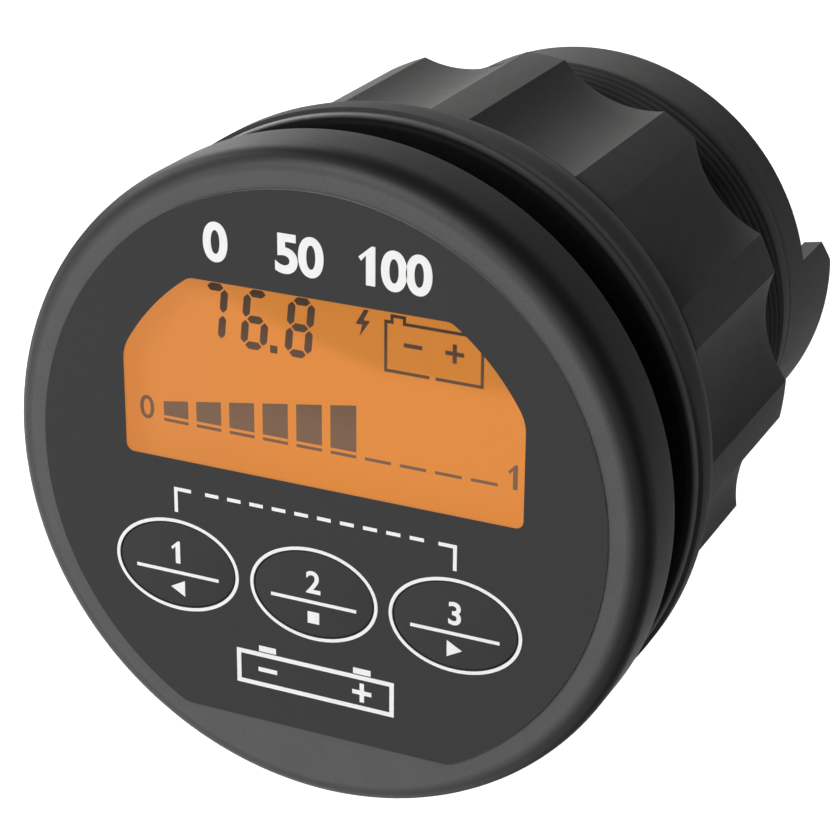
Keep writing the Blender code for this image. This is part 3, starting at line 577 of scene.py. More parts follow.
def number_mesh(words, height, weight, place, front, back):
    """A plain number, centred on a place of the face, with its figures evenly spaced."""
    figures = []
    low = place[1] - height / 2
    for spot, figure in enumerate(words):
        x = place[0] + (spot - (len(words) - 1) / 2) * height * FIGURE_PITCH
        if figure == "1":
            loop = []
            for across, up in FIGURE_ONE:
                loop.append((x + across * height + math.copysign(weight, across), low + up * height))
            figures.append(flat_mesh("figure", [loop], front, back))
            continue
        curve = bpy.data.curves.new("figure", "FONT")
        curve.body = figure
        curve.size = height / MM / CAP_SHARE
        curve.align_x = "CENTER"
        curve.offset = weight / MM
        figures.append(filled("figure", curve, (x, low), front, back))
    return joined(figures)


def filled(name, curve, place, front, back):
    """Fill a flat curve drawn in millimetres and stand it up facing the front."""
    curve.dimensions = "2D"
    curve.fill_mode = "BOTH"
    curve.extrude = (back - front) / MM / 2
    maker = bpy.data.objects.new(name, curve)
    bpy.context.scene.collection.objects.link(maker)
    mesh = plain_copy(maker)
    stand = Matrix.Rotation(math.pi / 2, 4, "X") @ Matrix.Scale(MM, 4)
    mesh.transform(Matrix.Translation((place[0], (front + back) / 2, place[1])) @ stand)
    discard(maker)
    return mesh


def joined(meshes):
    """Several meshes as one."""
    shape = bmesh.new()
    for mesh in meshes:
        shape.from_mesh(mesh)
        bpy.data.meshes.remove(mesh)
    whole = bpy.data.meshes.new("joined")
    shape.to_mesh(whole)
    shape.free()
    return whole


def stacked(rings):
    """Join rings of equally many points into a closed skin, in a loop or capped by rings of one point."""
    shape = bmesh.new()
    made = [[shape.verts.new(point) for point in ring] for ring in rings]
    looped = len(made[0]) > 1
    pairs = list(zip(made, made[1:] + made[:1])) if looped else list(zip(made, made[1:]))
    for low, high in pairs:
        count = max(len(low), len(high))
        for step in range(count):
            after = (step + 1) % count
            if len(low) == 1:
                shape.faces.new((low[0], high[after], high[step]))
            elif len(high) == 1:
                shape.faces.new((low[step], low[after], high[0]))
            else:
                shape.faces.new((low[step], low[after], high[after], high[step]))
    mesh = bpy.data.meshes.new("stack")
    shape.to_mesh(mesh)
    shape.free()
    return mesh


# Angles up to which faces count as one flat and from which an edge is rounded
FLAT_WITHIN = math.radians(1)
BEVEL_FROM = math.radians(40)
BEVEL_STEPS = 3


def softened(node, width):
    """A copy of a CAD node with its edges rounded."""
    shape = bmesh.new()
    shape.from_mesh(frame["nodes"][node].data)
    bmesh.ops.remove_doubles(shape, verts=shape.verts, dist=WELD)
    bmesh.ops.dissolve_limit(shape, angle_limit=FLAT_WITHIN, verts=shape.verts, edges=shape.edges)
    bmesh.ops.recalc_face_normals(shape, faces=shape.faces)
    mesh = bpy.data.meshes.new(node + "_soft")
    shape.to_mesh(mesh)
    shape.free()
    maker = bpy.data.objects.new(node + "_soft", mesh)
    bpy.context.scene.collection.objects.link(maker)
    bevel = maker.modifiers.new("Edges", "BEVEL")
    bevel.width = width
    bevel.segments = BEVEL_STEPS
    bevel.limit_method = "ANGLE"
    bevel.angle_limit = BEVEL_FROM
    made = plain_copy(maker)
    discard(maker)
    return made


def arc(centre, radius, start, end, steps):
    """Points on an arc in a plane, angles in degrees from its first axis toward its second."""
    points = []
    for step in range(steps + 1):
        turn = math.radians(start + (end - start) * step / steps)
        points.append((centre[0] + radius * math.cos(turn), centre[1] + radius * math.sin(turn)))
    return points


# Facets of an oval, of the face sheet's outline and of a rounded edge
OVAL_STEPS = 96
SHEET_STEPS = 360
EDGE_STEPS = 6


def oval(half_width, half_height, centre):
    """Points round an ellipse in the X-Z plane."""
    points = []
    for step in range(OVAL_STEPS):
        turn = FULL_TURN * step / OVAL_STEPS
        points.append((centre[0] + half_width * math.cos(turn), centre[1] + half_height * math.sin(turn)))
    return points


def bar(left, right, low, high):
    """A rectangle in the X-Z plane."""
    return [(left, low), (right, low), (right, high), (left, high)]


def sheet_reach(face, turn, grow):
    """Distance from the axis to the face sheet's edge at an angle from +X toward +Z, grown by an offset."""
    corner_z = face.label_corner - face.label_chord
    corner_x = math.sqrt((face.label_radius - face.label_corner) ** 2 - corner_z ** 2)
    flat = face.label_chord + grow
    x, z = abs(math.cos(turn)), math.sin(turn)
    if math.atan2(z, x) >= math.atan2(corner_z, corner_x):
        return face.label_radius + grow
    if math.atan2(z, x) <= math.atan2(-flat, corner_x):
        return flat / -z
    toward = corner_x * x + corner_z * z
    room = (face.label_corner + grow) ** 2 - corner_x ** 2 - corner_z ** 2
    return toward + math.sqrt(room + toward ** 2)


def sheet_outline(face, grow):
    """The face sheet's outline: a circle with a flat at the bottom and rounded corners."""
    points = []
    for step in range(SHEET_STEPS):
        turn = FULL_TURN * step / SHEET_STEPS
        reach = sheet_reach(face, turn, grow)
        points.append((reach * math.cos(turn), reach * math.sin(turn)))
    return points


# Radii of the window's lower, side and top corners, and the facets of these and of the arc between
WINDOW_CORNERS = (0.0008, 0.0040, 0.0015)
WINDOW_STEPS = (8, 10, 6)
WINDOW_ARC_STEPS = 16


def window_outline(face, grow):
    """The window's outline: flat sides and top with arcs between them, and rounded corners."""
    foot, shoulder, crown = WINDOW_CORNERS
    foot_steps, shoulder_steps, crown_steps = WINDOW_STEPS
    shoulder_x = face.window_half - shoulder
    shoulder_z = math.sqrt((face.window_arc - shoulder) ** 2 - shoulder_x ** 2)
    low = math.degrees(math.atan2(shoulder_z, shoulder_x))
    crown_z = face.window_top - crown
    crown_x = math.sqrt((face.window_arc - crown) ** 2 - crown_z ** 2)
    high = math.degrees(math.atan2(crown_z, crown_x))
    right = arc((face.window_half - foot, face.window_bottom + foot), foot + grow, -90, 0, foot_steps)
    right += arc((shoulder_x, shoulder_z), shoulder + grow, 0, low, shoulder_steps)
    right += arc((0, 0), face.window_arc + grow, low, high, WINDOW_ARC_STEPS)[1:]
    right += arc((crown_x, crown_z), crown + grow, high, 90, crown_steps)[1:]
    left = [(-x, z) for x, z in reversed(right)]
    return [(x + face.window_shift, z) for x, z in right + left]


def key_place(side):
    """Middle of a key on the face."""
    low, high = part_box("key_" + side)
    return ((low.x + high.x) / 2, (low.z + high.z) / 2)


class Finish:
    """A Principled material with a few procedural helpers, on the piece's own coordinates."""

    def __init__(self, name, roughness, metallic=0.0, specular=0.5):
        self.material = bpy.data.materials.new(name)
        self.material.use_nodes = True
        self.tree = self.material.node_tree
        self.shader = self.tree.nodes["Principled BSDF"]
        self.shader.inputs["Roughness"].default_value = roughness
        self.shader.inputs["Metallic"].default_value = metallic
        self.shader.inputs["Specular IOR Level"].default_value = specular
        self.place = self.tree.nodes.new("ShaderNodeTexCoord").outputs["Object"]

    def noise(self, scale, detail=2.0, stretch=(1.0, 1.0, 1.0)):
        """Noise with its grain stretched along the axes."""
        mapping = self.tree.nodes.new("ShaderNodeMapping")
        mapping.inputs["Scale"].default_value = stretch
        self.tree.links.new(self.place, mapping.inputs["Vector"])
        noise = self.tree.nodes.new("ShaderNodeTexNoise")
        noise.inputs["Scale"].default_value = scale
        noise.inputs["Detail"].default_value = detail
        self.tree.links.new(mapping.outputs[0], noise.inputs["Vector"])
        return Field(self.tree, noise.outputs["Fac"])

    def axis(self, name):
        """One of the piece's own coordinates."""
        split = self.tree.nodes.new("ShaderNodeSeparateXYZ")
        self.tree.links.new(self.place, split.inputs[0])
        return Field(self.tree, split.outputs[name])

    def reach(self):
        """Distance from the gauge's axis."""
        x, z = self.axis("X"), self.axis("Z")
        return (x * x + z * z).math("SQRT")

    def mix(self, factor, low, high):
        """A colour between two others."""
        node = self.tree.nodes.new("ShaderNodeMix")
        node.data_type = "RGBA"
        self.tree.links.new(factor.socket, node.inputs["Factor"])
        for socket, colour in ((node.inputs["A"], low), (node.inputs["B"], high)):
            if isinstance(colour, bpy.types.NodeSocket):
                self.tree.links.new(colour, socket)
            else:
                socket.default_value = (*colour, 1.0)
        return node.outputs["Result"]

    def mottled(self, factor, colour, low, high):
        """A colour that a field takes from one shade of it to another."""
        return self.mix(factor, shade(colour, low), shade(colour, high))

    def link(self, value, title):
        """Drive one of the shader's inputs."""
        socket = value.socket if isinstance(value, Field) else value
        self.tree.links.new(socket, self.shader.inputs[title])

    def rough(self, factor, swing, least):
        """Roughness that a field raises from its least value."""
        self.link(factor * swing + least, "Roughness")

    def glowing(self, colour, strength):
        """Send out a colour of light."""
        self.link(colour, "Emission Color")
        self.shader.inputs["Emission Strength"].default_value = strength

    def relief(self, height, depth, strength):
        """Bump the surface by a height field."""
        bump = self.tree.nodes.new("ShaderNodeBump")
        bump.inputs["Distance"].default_value = depth
        bump.inputs["Strength"].default_value = strength
        self.tree.links.new(height.socket, bump.inputs["Height"])
        self.tree.links.new(bump.outputs[0], self.shader.inputs["Normal"])


def shade(colour, share):
    """A colour made darker or lighter."""
    return tuple(min(1.0, part * share) for part in colour)


def tinted(colour, shares):
    """A colour with each of its parts made darker or lighter on its own."""
    return tuple(part * share for part, share in zip(colour, shares))


# The bezel's speckle, the painted sheen of its lighter front and its coat's sheen, where these end, and
# where its skirt begins
GRAIN_WEIGHT = 1.1
PATCH_WEIGHT = 0.4
TONE_DROP = 0.25
COAT_IOR = 1.3
COAT_ROUGHNESS = 0.45
GRAIN_END = 0.0299
GRAIN_FADE = 0.0010
GRAIN_DEPTH = 0.0012
COAT_END = 0.0316
COAT_FADE = 0.0006
SKIRT_START = -0.0056
SKIRT_FADE = 0.0016


def grained_plastic(side, front, skirt):
    """Black moulding in painted tones: its grained flat front lighter as painted sheen, and its shoulder
    darker than its skirt as painted shade.
    """
    finish = Finish("grained_plastic", roughness=0.5, specular=0.015)
    grain = finish.noise(scale=5200.0)
    patches = finish.noise(scale=260.0, detail=3.0)
    tone = (grain * GRAIN_WEIGHT + patches * PATCH_WEIGHT - TONE_DROP).between(0.0, 1.0)
    reach, y = finish.reach(), finish.axis("Y")
    off_front = reach.ramp(GRAIN_END, GRAIN_FADE).math("MAXIMUM", y.ramp(BEZEL_LOW.y, GRAIN_DEPTH))
    # Painted shade: the shoulder is darker than the skirt. Painted sheen: the speckled front is lighter.
    shaded_shoulder = finish.mottled(patches, side, low=0.8, high=1.25)
    on_skirt = finish.mottled(patches, skirt, low=0.88, high=1.12)
    shaded_shoulder_to_skirt = finish.mix(y.ramp(SKIRT_START, SKIRT_FADE), shaded_shoulder, on_skirt)
    speckled_sheen = finish.mottled(tone, front, low=0.75, high=1.25)
    finish.link(finish.mix(off_front, speckled_sheen, shaded_shoulder_to_skirt), "Base Color")
    finish.rough(grain, swing=0.16, least=0.38)
    finish.link(reach.ramp(COAT_END, -COAT_FADE), "Coat Weight")
    finish.shader.inputs["Coat IOR"].default_value = COAT_IOR
    finish.shader.inputs["Coat Roughness"].default_value = COAT_ROUGHNESS
    finish.relief(grain, depth=0.00003, strength=0.3)
    return finish.material


# Roughness of the satin plastic: its least, and what flow marks and dust add
SATIN_ROUGHNESS = 0.34
FLOW_ROUGHNESS = 0.18
DUST_ROUGHNESS = 0.12


def satin(colour, name):
    """Satin black moulding with faint flow marks along its axis."""
    finish = Finish(name, roughness=0.5, specular=0.003)
    flow = finish.noise(scale=420.0, detail=3.0, stretch=(1.0, 0.12, 1.0))
    dust = finish.noise(scale=4200.0)
    ground = finish.mottled(flow, colour, low=0.88, high=1.12)
    finish.link(ground, "Base Color")
    finish.link(flow * FLOW_ROUGHNESS + dust * DUST_ROUGHNESS + SATIN_ROUGHNESS, "Roughness")
    finish.relief(dust, depth=0.00002, strength=0.30)
    return finish, ground


def satin_plastic(colour):
    """The finish of the flange, the cover and its lip, and the ring's inside thread."""
    finish, _ = satin(colour, "satin_plastic")
    return finish.material


# Zones of the satin plastic painted lighter as painted light, and painted shade in its thread roots
PAINTED_LIGHT_SHADES = (1.15, 1.45)
GRIP_FADE = 0.0008
ROOT_SHADE = 0.12


def rubbed(finish, colour):
    """The same plastic, painted a little lighter as painted light, with a mottle."""
    low, high = PAINTED_LIGHT_SHADES
    return finish.mottled(finish.noise(scale=900.0, detail=3.0), colour, low, high)


def grip_plastic(colour, ring):
    """The finish of the lock ring and the rear shroud, painted a little lighter behind the ring's cone as
    painted light.
    """
    finish, ground = satin(colour, "grip_plastic")
    on_grip = finish.axis("Y").ramp(ring.neck, GRIP_FADE)
    # Painted light: behind the cone the grip takes the lighter tone
    finish.link(finish.mix(on_grip, ground, rubbed(finish, colour)), "Base Color")
    return finish.material


def thread_plastic(colour, barrel):
    """The barrel's finish: painted shade in the roots of its thread, and its plain band behind it painted a
    little lighter as painted light.
    """
    finish, ground = satin(colour, "thread_plastic")
    y = finish.axis("Y")
    on_band = y.ramp(barrel.thread_end, barrel.pitch)
    # Painted light: the plain band takes the lighter tone
    ground = finish.mix(on_band, ground, rubbed(finish, colour))
    on_thread = y.ramp(barrel.thread_end, -barrel.pitch)
    # Painted shade: the thread's roots are darkened
    painted_root_shade = on_thread * finish.reach().ramp(barrel.crest, barrel.root - barrel.crest)
    finish.link(finish.mix(painted_root_shade, ground, shade(colour, ROOT_SHADE)), "Base Color")
    return finish.material


def printed_film(colour, name):
    """Matt printed film with a very fine tooth."""
    finish = Finish(name, roughness=0.62, specular=0.04)
    tooth = finish.noise(scale=6500.0)
    ground = finish.mottled(tooth, colour, low=0.93, high=1.07)
    finish.link(ground, "Base Color")
    finish.rough(tooth, swing=0.12, least=0.56)
    finish.relief(tooth, depth=0.00001, strength=0.25)
    return finish, ground


def printed_key(colour):
    """The film on the keys."""
    finish, _ = printed_film(colour, "printed_key")
    return finish.material


# How deep the film's print reaches into its cut edge, and what counts as its outer edge
SHEET_EDGE_START = 0.00003
SHEET_EDGE_RADIUS = 0.0240


def printed_sheet(colour, edge, glow):
    """The face sheet: pale along its outer cut edge, partly the clear film's own edge and partly a painted
    highlight, and given a painted glow of the display's light along the window's.
    """
    finish, ground = printed_film(colour, "printed_sheet")
    on_edge = finish.axis("Y").ramp(SHEET_LOW.y + SHEET_EDGE_START, SHEET_EDGE_START)
    outside = finish.reach().math("GREATER_THAN", SHEET_EDGE_RADIUS)
    window_glow = on_edge * (outside * -1.0 + 1.0) * finish.axis("Z").math("GREATER_THAN", 0.0)
    # Partly painted highlight: the outer cut edge takes the pale tone
    finish.link(finish.mix(on_edge * outside, ground, edge), "Base Color")
    # Painted light: the window's cut edge glows in the display's colour
    finish.glowing(finish.mix(window_glow, (0.0, 0.0, 0.0), glow), strength=0.7)
    return finish.material


def white_ink(colour):
    """Screen-printed white with a slightly uneven film."""
    finish = Finish("white_ink", roughness=0.55, specular=0.2)
    film = finish.noise(scale=2600.0)
    finish.link(finish.mottled(film, colour, low=0.96, high=1.04), "Base Color")
    finish.rough(film, swing=0.15, least=0.48)
    return finish.material


# The display's painted shadow of the window's upper edge over its upper right, its pale left side, and the
# height over which its segments darken, partly as painted shade
DIM_SLOPE = -0.27
DIM_LEVEL = 0.0134
DIM_LOWEST = 0.0120
DIM_WAVE = 0.0008
DIM_FADE = 0.0016
DIM_TINT = (0.78, 0.80, 0.58)
PALE_START = 0.004
PALE_REACH = 0.022
PALE_MOST = 0.45
PALE_TINT = (0.92, 0.98, 1.35)
SEGMENT_LOW = 0.005
SEGMENT_RISE = 0.0125
SEGMENT_MOTTLE = 0.15


def display_glow(colour):
    """Backlit display ground with a painted shadow of the window's upper edge over its upper right, and
    paler toward its left.
    """
    finish = Finish("display_glow", roughness=0.5, specular=0.02)
    x, z = finish.axis("X"), finish.axis("Z")
    cloud = finish.noise(scale=120.0)
    edge = (x * DIM_SLOPE + DIM_LEVEL).math("MAXIMUM", DIM_LOWEST)
    # Painted shadow of the window's upper edge on the glow
    window_shadow = ((z - edge + (cloud - 0.5) * DIM_WAVE) / DIM_FADE + 0.5).between(0.0, 1.0)
    ground = finish.mix(window_shadow, colour, tinted(colour, DIM_TINT))
    pale = ((x * -1.0 - PALE_START) / PALE_REACH).between(0.0, PALE_MOST)
    finish.glowing(finish.mix(pale, ground, tinted(colour, PALE_TINT)), strength=0.86)
    finish.link(finish.mottled(cloud, colour, low=0.12, high=0.16), "Base Color")
    return finish.material


def display_ink(colour):
    """Display segments, darker toward the top, partly by their own contrast and partly as painted shade
    under the window's edge.
    """
    finish = Finish("display_ink", roughness=0.5, specular=0.1)
    # Partly painted shade: the segments darken toward the top
    rise = finish.axis("Z").ramp(SEGMENT_LOW, SEGMENT_RISE)
    cloud = finish.noise(scale=900.0)
    tone = (rise + (cloud - 0.5) * SEGMENT_MOTTLE).between(0.0, 1.0)
    finish.glowing(finish.mottled(tone, colour, low=1.0, high=0.22), strength=0.9)
    finish.link(finish.mottled(tone, colour, low=0.2, high=0.08), "Base Color")
    return finish.material


# The lens: how much of it shows, and its two tones
LENS_ALPHA = 0.04
LENS_TONES = ((0.03, 0.03, 0.03), (0.06, 0.06, 0.06))


def clear_lens():
    """Clear window, mostly see-through, with its gloss."""
    finish = Finish("clear_lens", roughness=0.06)
    haze = finish.noise(scale=300.0)
    finish.link(finish.mix(haze, *LENS_TONES), "Base Color")
    finish.rough(haze, swing=0.03, least=0.05)
    finish.shader.inputs["Alpha"].default_value = LENS_ALPHA
    return finish.material


# Where the painted highlight along the washer's rim begins
RIM_HIGHLIGHT_START = 0.0312
RIM_HIGHLIGHT_FADE = 0.0003


def seal_rubber(colour, rim):
    """Dull rubber, with a painted highlight along the washer's rim."""
    finish = Finish("seal_rubber", roughness=0.55, specular=0.02)
    bloom = finish.noise(scale=1500.0, detail=3.0)
    ground = finish.mottled(bloom, colour, low=0.8, high=1.5)
    # Painted highlight: the rim takes a lighter tone
    finish.link(finish.mix(finish.reach().ramp(RIM_HIGHLIGHT_START, RIM_HIGHLIGHT_FADE), ground, rim), "Base Color")
    finish.rough(bloom, swing=0.2, least=0.34)
    finish.relief(bloom, depth=0.00003, strength=0.4)
    return finish.material


def milky_plastic(colour):
    """Light-spreading white plastic."""
    finish = Finish("milky_plastic", roughness=0.35)
    cloud = finish.noise(scale=500.0)
    finish.link(finish.mottled(cloud, colour, low=0.95, high=1.05), "Base Color")
    finish.rough(cloud, swing=0.1, least=0.3)
    return finish.material


# Copper tracks on the boards: how many to a metre, the gap's share, how they bend, and what lightens them
TRACKS = 800.0
TRACK_GAP = 0.62
TRACK_BENDS = 210.0
TRACK_SWAY = 0.0012
TRACK_TONE = 0.75
WEAVE_TONE = 0.25


def coated_board(colour):
    """Green solder mask over copper tracks."""
    finish = Finish("coated_board", roughness=0.4)
    along = finish.axis("Y") + finish.axis("Z")
    bend = (along * TRACK_BENDS).math("PINGPONG", 1.0)
    across = (finish.axis("X") + bend * TRACK_SWAY) * TRACKS
    tracks = across.math("FRACT").math("GREATER_THAN", TRACK_GAP)
    weave = finish.noise(scale=2500.0)
    tone = (tracks * TRACK_TONE + weave * WEAVE_TONE).between(0.0, 1.0)
    finish.link(finish.mottled(tone, colour, low=1.0, high=1.9), "Base Color")
    finish.rough(weave, swing=0.15, least=0.32)
    finish.relief(tracks, depth=0.00003, strength=0.5)
    return finish.material


def component_moulding(colour):
    """Fine matt moulding of component cases."""
    finish = Finish("component_moulding", roughness=0.5, specular=0.4)
    grain = finish.noise(scale=3600.0)
    finish.link(finish.mottled(grain, colour, low=0.75, high=1.3), "Base Color")
    finish.rough(grain, swing=0.2, least=0.42)
    finish.relief(grain, depth=0.00002, strength=0.35)
    return finish.material


def drawn_metal(colour, name):
    """Bright metal with fine drawing marks along its axis."""
    finish = Finish(name, roughness=0.3, metallic=1.0)
    marks = finish.noise(scale=2600.0, detail=3.0, stretch=(1.0, 0.08, 1.0))
    finish.link(finish.mottled(marks, colour, low=0.85, high=1.12), "Base Color")
    finish.rough(marks, swing=0.22, least=0.2)
    return finish.material


FINISH_MAKERS = {
    "bezel_plastic": lambda colours: grained_plastic(colours.bezel, colours.grain, colours.skirt),
    "barrel_plastic": lambda colours: satin_plastic(colours.barrel),
    "grip": lambda colours: grip_plastic(colours.barrel, bpy.context.scene.gauge_ring),
    "thread": lambda colours: thread_plastic(colours.barrel, bpy.context.scene.gauge_barrel),
    "face_sheet": lambda colours: printed_sheet(colours.sheet, colours.cut_edge, colours.glow),
    "key_plastic": lambda colours: printed_key(colours.sheet),
    "white_print": lambda colours: white_ink(colours.ink),
    "display": lambda colours: display_glow(colours.glow),
    "display_ink": lambda colours: display_ink(colours.segment),
    "lens": lambda colours: clear_lens(),
    "seal_rubber": lambda colours: seal_rubber(colours.rubber, colours.rim),
    "milky_plastic": lambda colours: milky_plastic(colours.milky),
    "circuit_board": lambda colours: coated_board(colours.board),
    "component_plastic": lambda colours: component_moulding(colours.moulding),
    "steel": lambda colours: drawn_metal(colours.steel, "drawn_steel"),
    "brass": lambda colours: drawn_metal(colours.brass, "drawn_brass"),
}
made_finishes = {}


def finish_of(slot):
    """The material of a finish, made once."""
    if slot not in made_finishes:
        made_finishes[slot] = FINISH_MAKERS[slot](bpy.context.scene.gauge_finish)
    return made_finishes[slot]


# Bezel: facets, edges and the places of its floor and skirt
BEZEL_COLUMNS = 360
BEZEL_EDGE = 0.00025
SKIRT_LIFT = 0.00005
BEZEL_SEAT = -0.00485
BEZEL_FLOOR_BACK = -0.00525
BEZEL_FLOOR_RADIUS = 0.0289
SKIRT_INNER = 0.0304
SHOULDER_STEPS = 14
SHEET_PLAY = 0.00003
SHEET_LAP = 0.0020


class GAUGE_OT_bezel(Operator):
    """Make the round bezel cap, with its shoulder and its skirt over the flange"""

    bl_idname = "gauge.bezel"
    bl_label = "Bezel"

    def execute(self, context):
        face = context.scene.gauge_face
        front = BEZEL_LOW.y
        bed = SHEET_HIGH.y + SHEET_PLAY
        inner = [(-SHEET_LAP, BEZEL_FLOOR_BACK), (-SHEET_LAP, bed), (SHEET_PLAY, bed), (SHEET_PLAY, front)]
        turns = [FULL_TURN * step / BEZEL_COLUMNS for step in range(BEZEL_COLUMNS)]
        rings = []
        for grow, y in inner:
            reach = [sheet_reach(face, turn, grow) for turn in turns]
            rings.append([(r * math.cos(turn), y, r * math.sin(turn)) for r, turn in zip(reach, turns)])
        for radius, y in self.outer_profile(face):
            rings.append([(radius * math.cos(turn), y, radius * math.sin(turn)) for turn in turns])
        finish = finish_of("bezel_plastic")
        put("bezel_trim", stacked(rings), finish, GAUGE, ["front_bezel"], degrees=30)
        return {"FINISHED"}

    def outer_profile(self, face):
        """Radius and depth along the flat front, the shoulder, the skirt and the seat of the flange."""
        front, back = BEZEL_LOW.y, -SKIRT_LIFT
        outer = BEZEL_HIGH.x
        wide = outer - face.shoulder_start
        deep = face.shoulder_depth
        shoulder = []
        for step in range(SHOULDER_STEPS + 1):
            turn = math.pi / 2 * step / SHOULDER_STEPS
            radius = face.shoulder_start + wide * math.sin(turn)
            shoulder.append((radius, front + deep - deep * math.cos(turn)))
        edge = BEZEL_EDGE
        rear_edge = arc((outer - edge, back - edge), edge, 0, 90, EDGE_STEPS)
        inside = [(SKIRT_INNER, back), (SKIRT_INNER, BEZEL_SEAT), (BEZEL_FLOOR_RADIUS, BEZEL_SEAT),
                  (BEZEL_FLOOR_RADIUS, BEZEL_FLOOR_BACK)]
        return shoulder + rear_edge + inside


# White print of the face. A post's half width, foot and top and a sign's arm are counted in strokes
SHEET_TRIM = 0.00002
INK_FILM = 0.00002
KEY_RING_GAP = 0.00009
BRACKET_SIDES = (-0.0145, 0.0143)
BRACKET_ARM = 0.0018
BRACKET_TOP = -0.00225
BRACKET_FOOT = -0.0048
BRACKET_STROKE = 0.00036
DASH_FIRST = (-0.0112, -0.0098)
DASH_COUNT = 10
DASH_PITCH = 0.00232
DIAL_NUMBERS = (("0", -0.0095), ("50", -0.0012), ("100", 0.0080))
DIAL_HEIGHT = 0.0036
DIAL_WEIGHT = 0.00016
DIAL_LEVEL = 0.0226
CELL_PLACE = (0.0, -0.0194)
CELL_SIZE = (0.0082, 0.0018)
CELL_STROKE = 0.00045
CELL_POST_SHARE = 0.6
CELL_POST = (2.0, 0.25, 1.6)
CELL_ARM = 2.2


class GAUGE_OT_face_sheet(Operator):
    """Make the dark face sheet and its white print"""

    bl_idname = "gauge.face_sheet"
    bl_label = "Face sheet"

    def execute(self, context):
        face = context.scene.gauge_face
        places = [key_place(side) for side in KEY_SIDES]
        holes = [oval(face.key_half_width, face.key_half_height, place) for place in places]
        loops = [sheet_outline(face, -SHEET_TRIM), window_outline(face, 0.0), *holes]
        sheet = flat_mesh("sheet", loops, SHEET_LOW.y, SHEET_HIGH.y)
        put("face_sheet", sheet, finish_of("face_sheet"), GAUGE, ["face_overlay"])
        put("face_print", joined(self.marks(face, places)), finish_of("white_print"), GAUGE)
        return {"FINISHED"}

    def marks(self, face, places):
        """White rings round the keys, the bracket over them, and the plain signs of the face."""
        front, back = SHEET_LOW.y - INK_FILM, SHEET_LOW.y + INK_FILM
        rings = []
        for place in places:
            outer = oval(face.key_half_width + face.key_ring, face.key_half_height + face.key_ring, place)
            inner = oval(face.key_half_width + KEY_RING_GAP, face.key_half_height + KEY_RING_GAP, place)
            rings.append(flat_mesh("key_ring", [outer, inner], front, back))
        marks = rings + [flat_set("bracket", self.bracket(), front, back)]
        dash = flat_mesh("dash", [bar(*DASH_FIRST, BRACKET_TOP - BRACKET_STROKE, BRACKET_TOP)], front, back)
        values = {"Count": DASH_COUNT, "Pitch": DASH_PITCH, "Finish": finish_of("white_print")}
        marks.append(row_tree().run("dashes", dash, values))
        for words, x in DIAL_NUMBERS:
            marks.append(number_mesh(words, DIAL_HEIGHT, DIAL_WEIGHT, (x, DIAL_LEVEL), front, back))
        marks.append(flat_mesh("cell_sign", cell_sign(CELL_PLACE, CELL_SIZE, CELL_STROKE), front, back))
        return marks

    def bracket(self):
        """Loops of the two ends of the bracket over the keys."""
        loops = []
        for corner, inward in zip(BRACKET_SIDES, (1, -1)):
            step = inward * BRACKET_STROKE
            end = corner + inward * BRACKET_ARM
            under = BRACKET_TOP - BRACKET_STROKE
            loops.append([(corner, BRACKET_TOP), (end, BRACKET_TOP), (end, under), (corner + step, under),
                          (corner + step, BRACKET_FOOT), (corner, BRACKET_FOOT)])
        return loops


def cell_sign(place, size, stroke):
    """Loops of a plain battery sign: a case with two posts, a minus and a plus."""
    x, z = place
    half_x, half_z = size
    loops = [bar(x - half_x, x + half_x, z - half_z, z + half_z),
             bar(x - half_x + stroke, x + half_x - stroke, z - half_z + stroke, z + half_z - stroke)]
    half_post, foot, top = (share * stroke for share in CELL_POST)
    arm = CELL_ARM * stroke
    minus, plus = x - half_x * CELL_POST_SHARE, x + half_x * CELL_POST_SHARE
    for post in (minus, plus):
        loops.append(bar(post - half_post, post + half_post, z + half_z + foot, z + half_z + top))
    loops.append(bar(minus - arm, minus + arm, z - stroke / 2, z + stroke / 2))
    loops.append(plus_loop((plus, z), arm, stroke))
    return loops


def plus_loop(place, arm, stroke):
    """A plus sign, three corners to each quarter turn."""
    x, z = place
    half = stroke / 2
    corners = [(-arm, -half), (-half, -half), (-half, -arm)]
    loop = []
    for _ in range(4):
        loop += [(x + across, z + up) for across, up in corners]
        corners = [(-up, across) for across, up in corners]
    return loop


# Keys: the inset and depth of their rim, their foot and their marks
KEY_RIM = ((0.00012, 0.0), (0.00003, 0.00004), (0.0, 0.00014))
KEY_FOOT = (0.0024, 0.0031)
KEY_NUMBER = 0.0023
KEY_WEIGHT = 0.00006
KEY_NUMBER_RISE = 0.0013
KEY_LINE = 0.0088
KEY_STROKE = 0.00034
KEY_LINE_DROP = 0.0008
KEY_ARROW = 0.0015
KEY_ARROW_DROP = 0.0024
KEY_ARROW_SPREAD = 1.1
KEY_SQUARE = 0.8


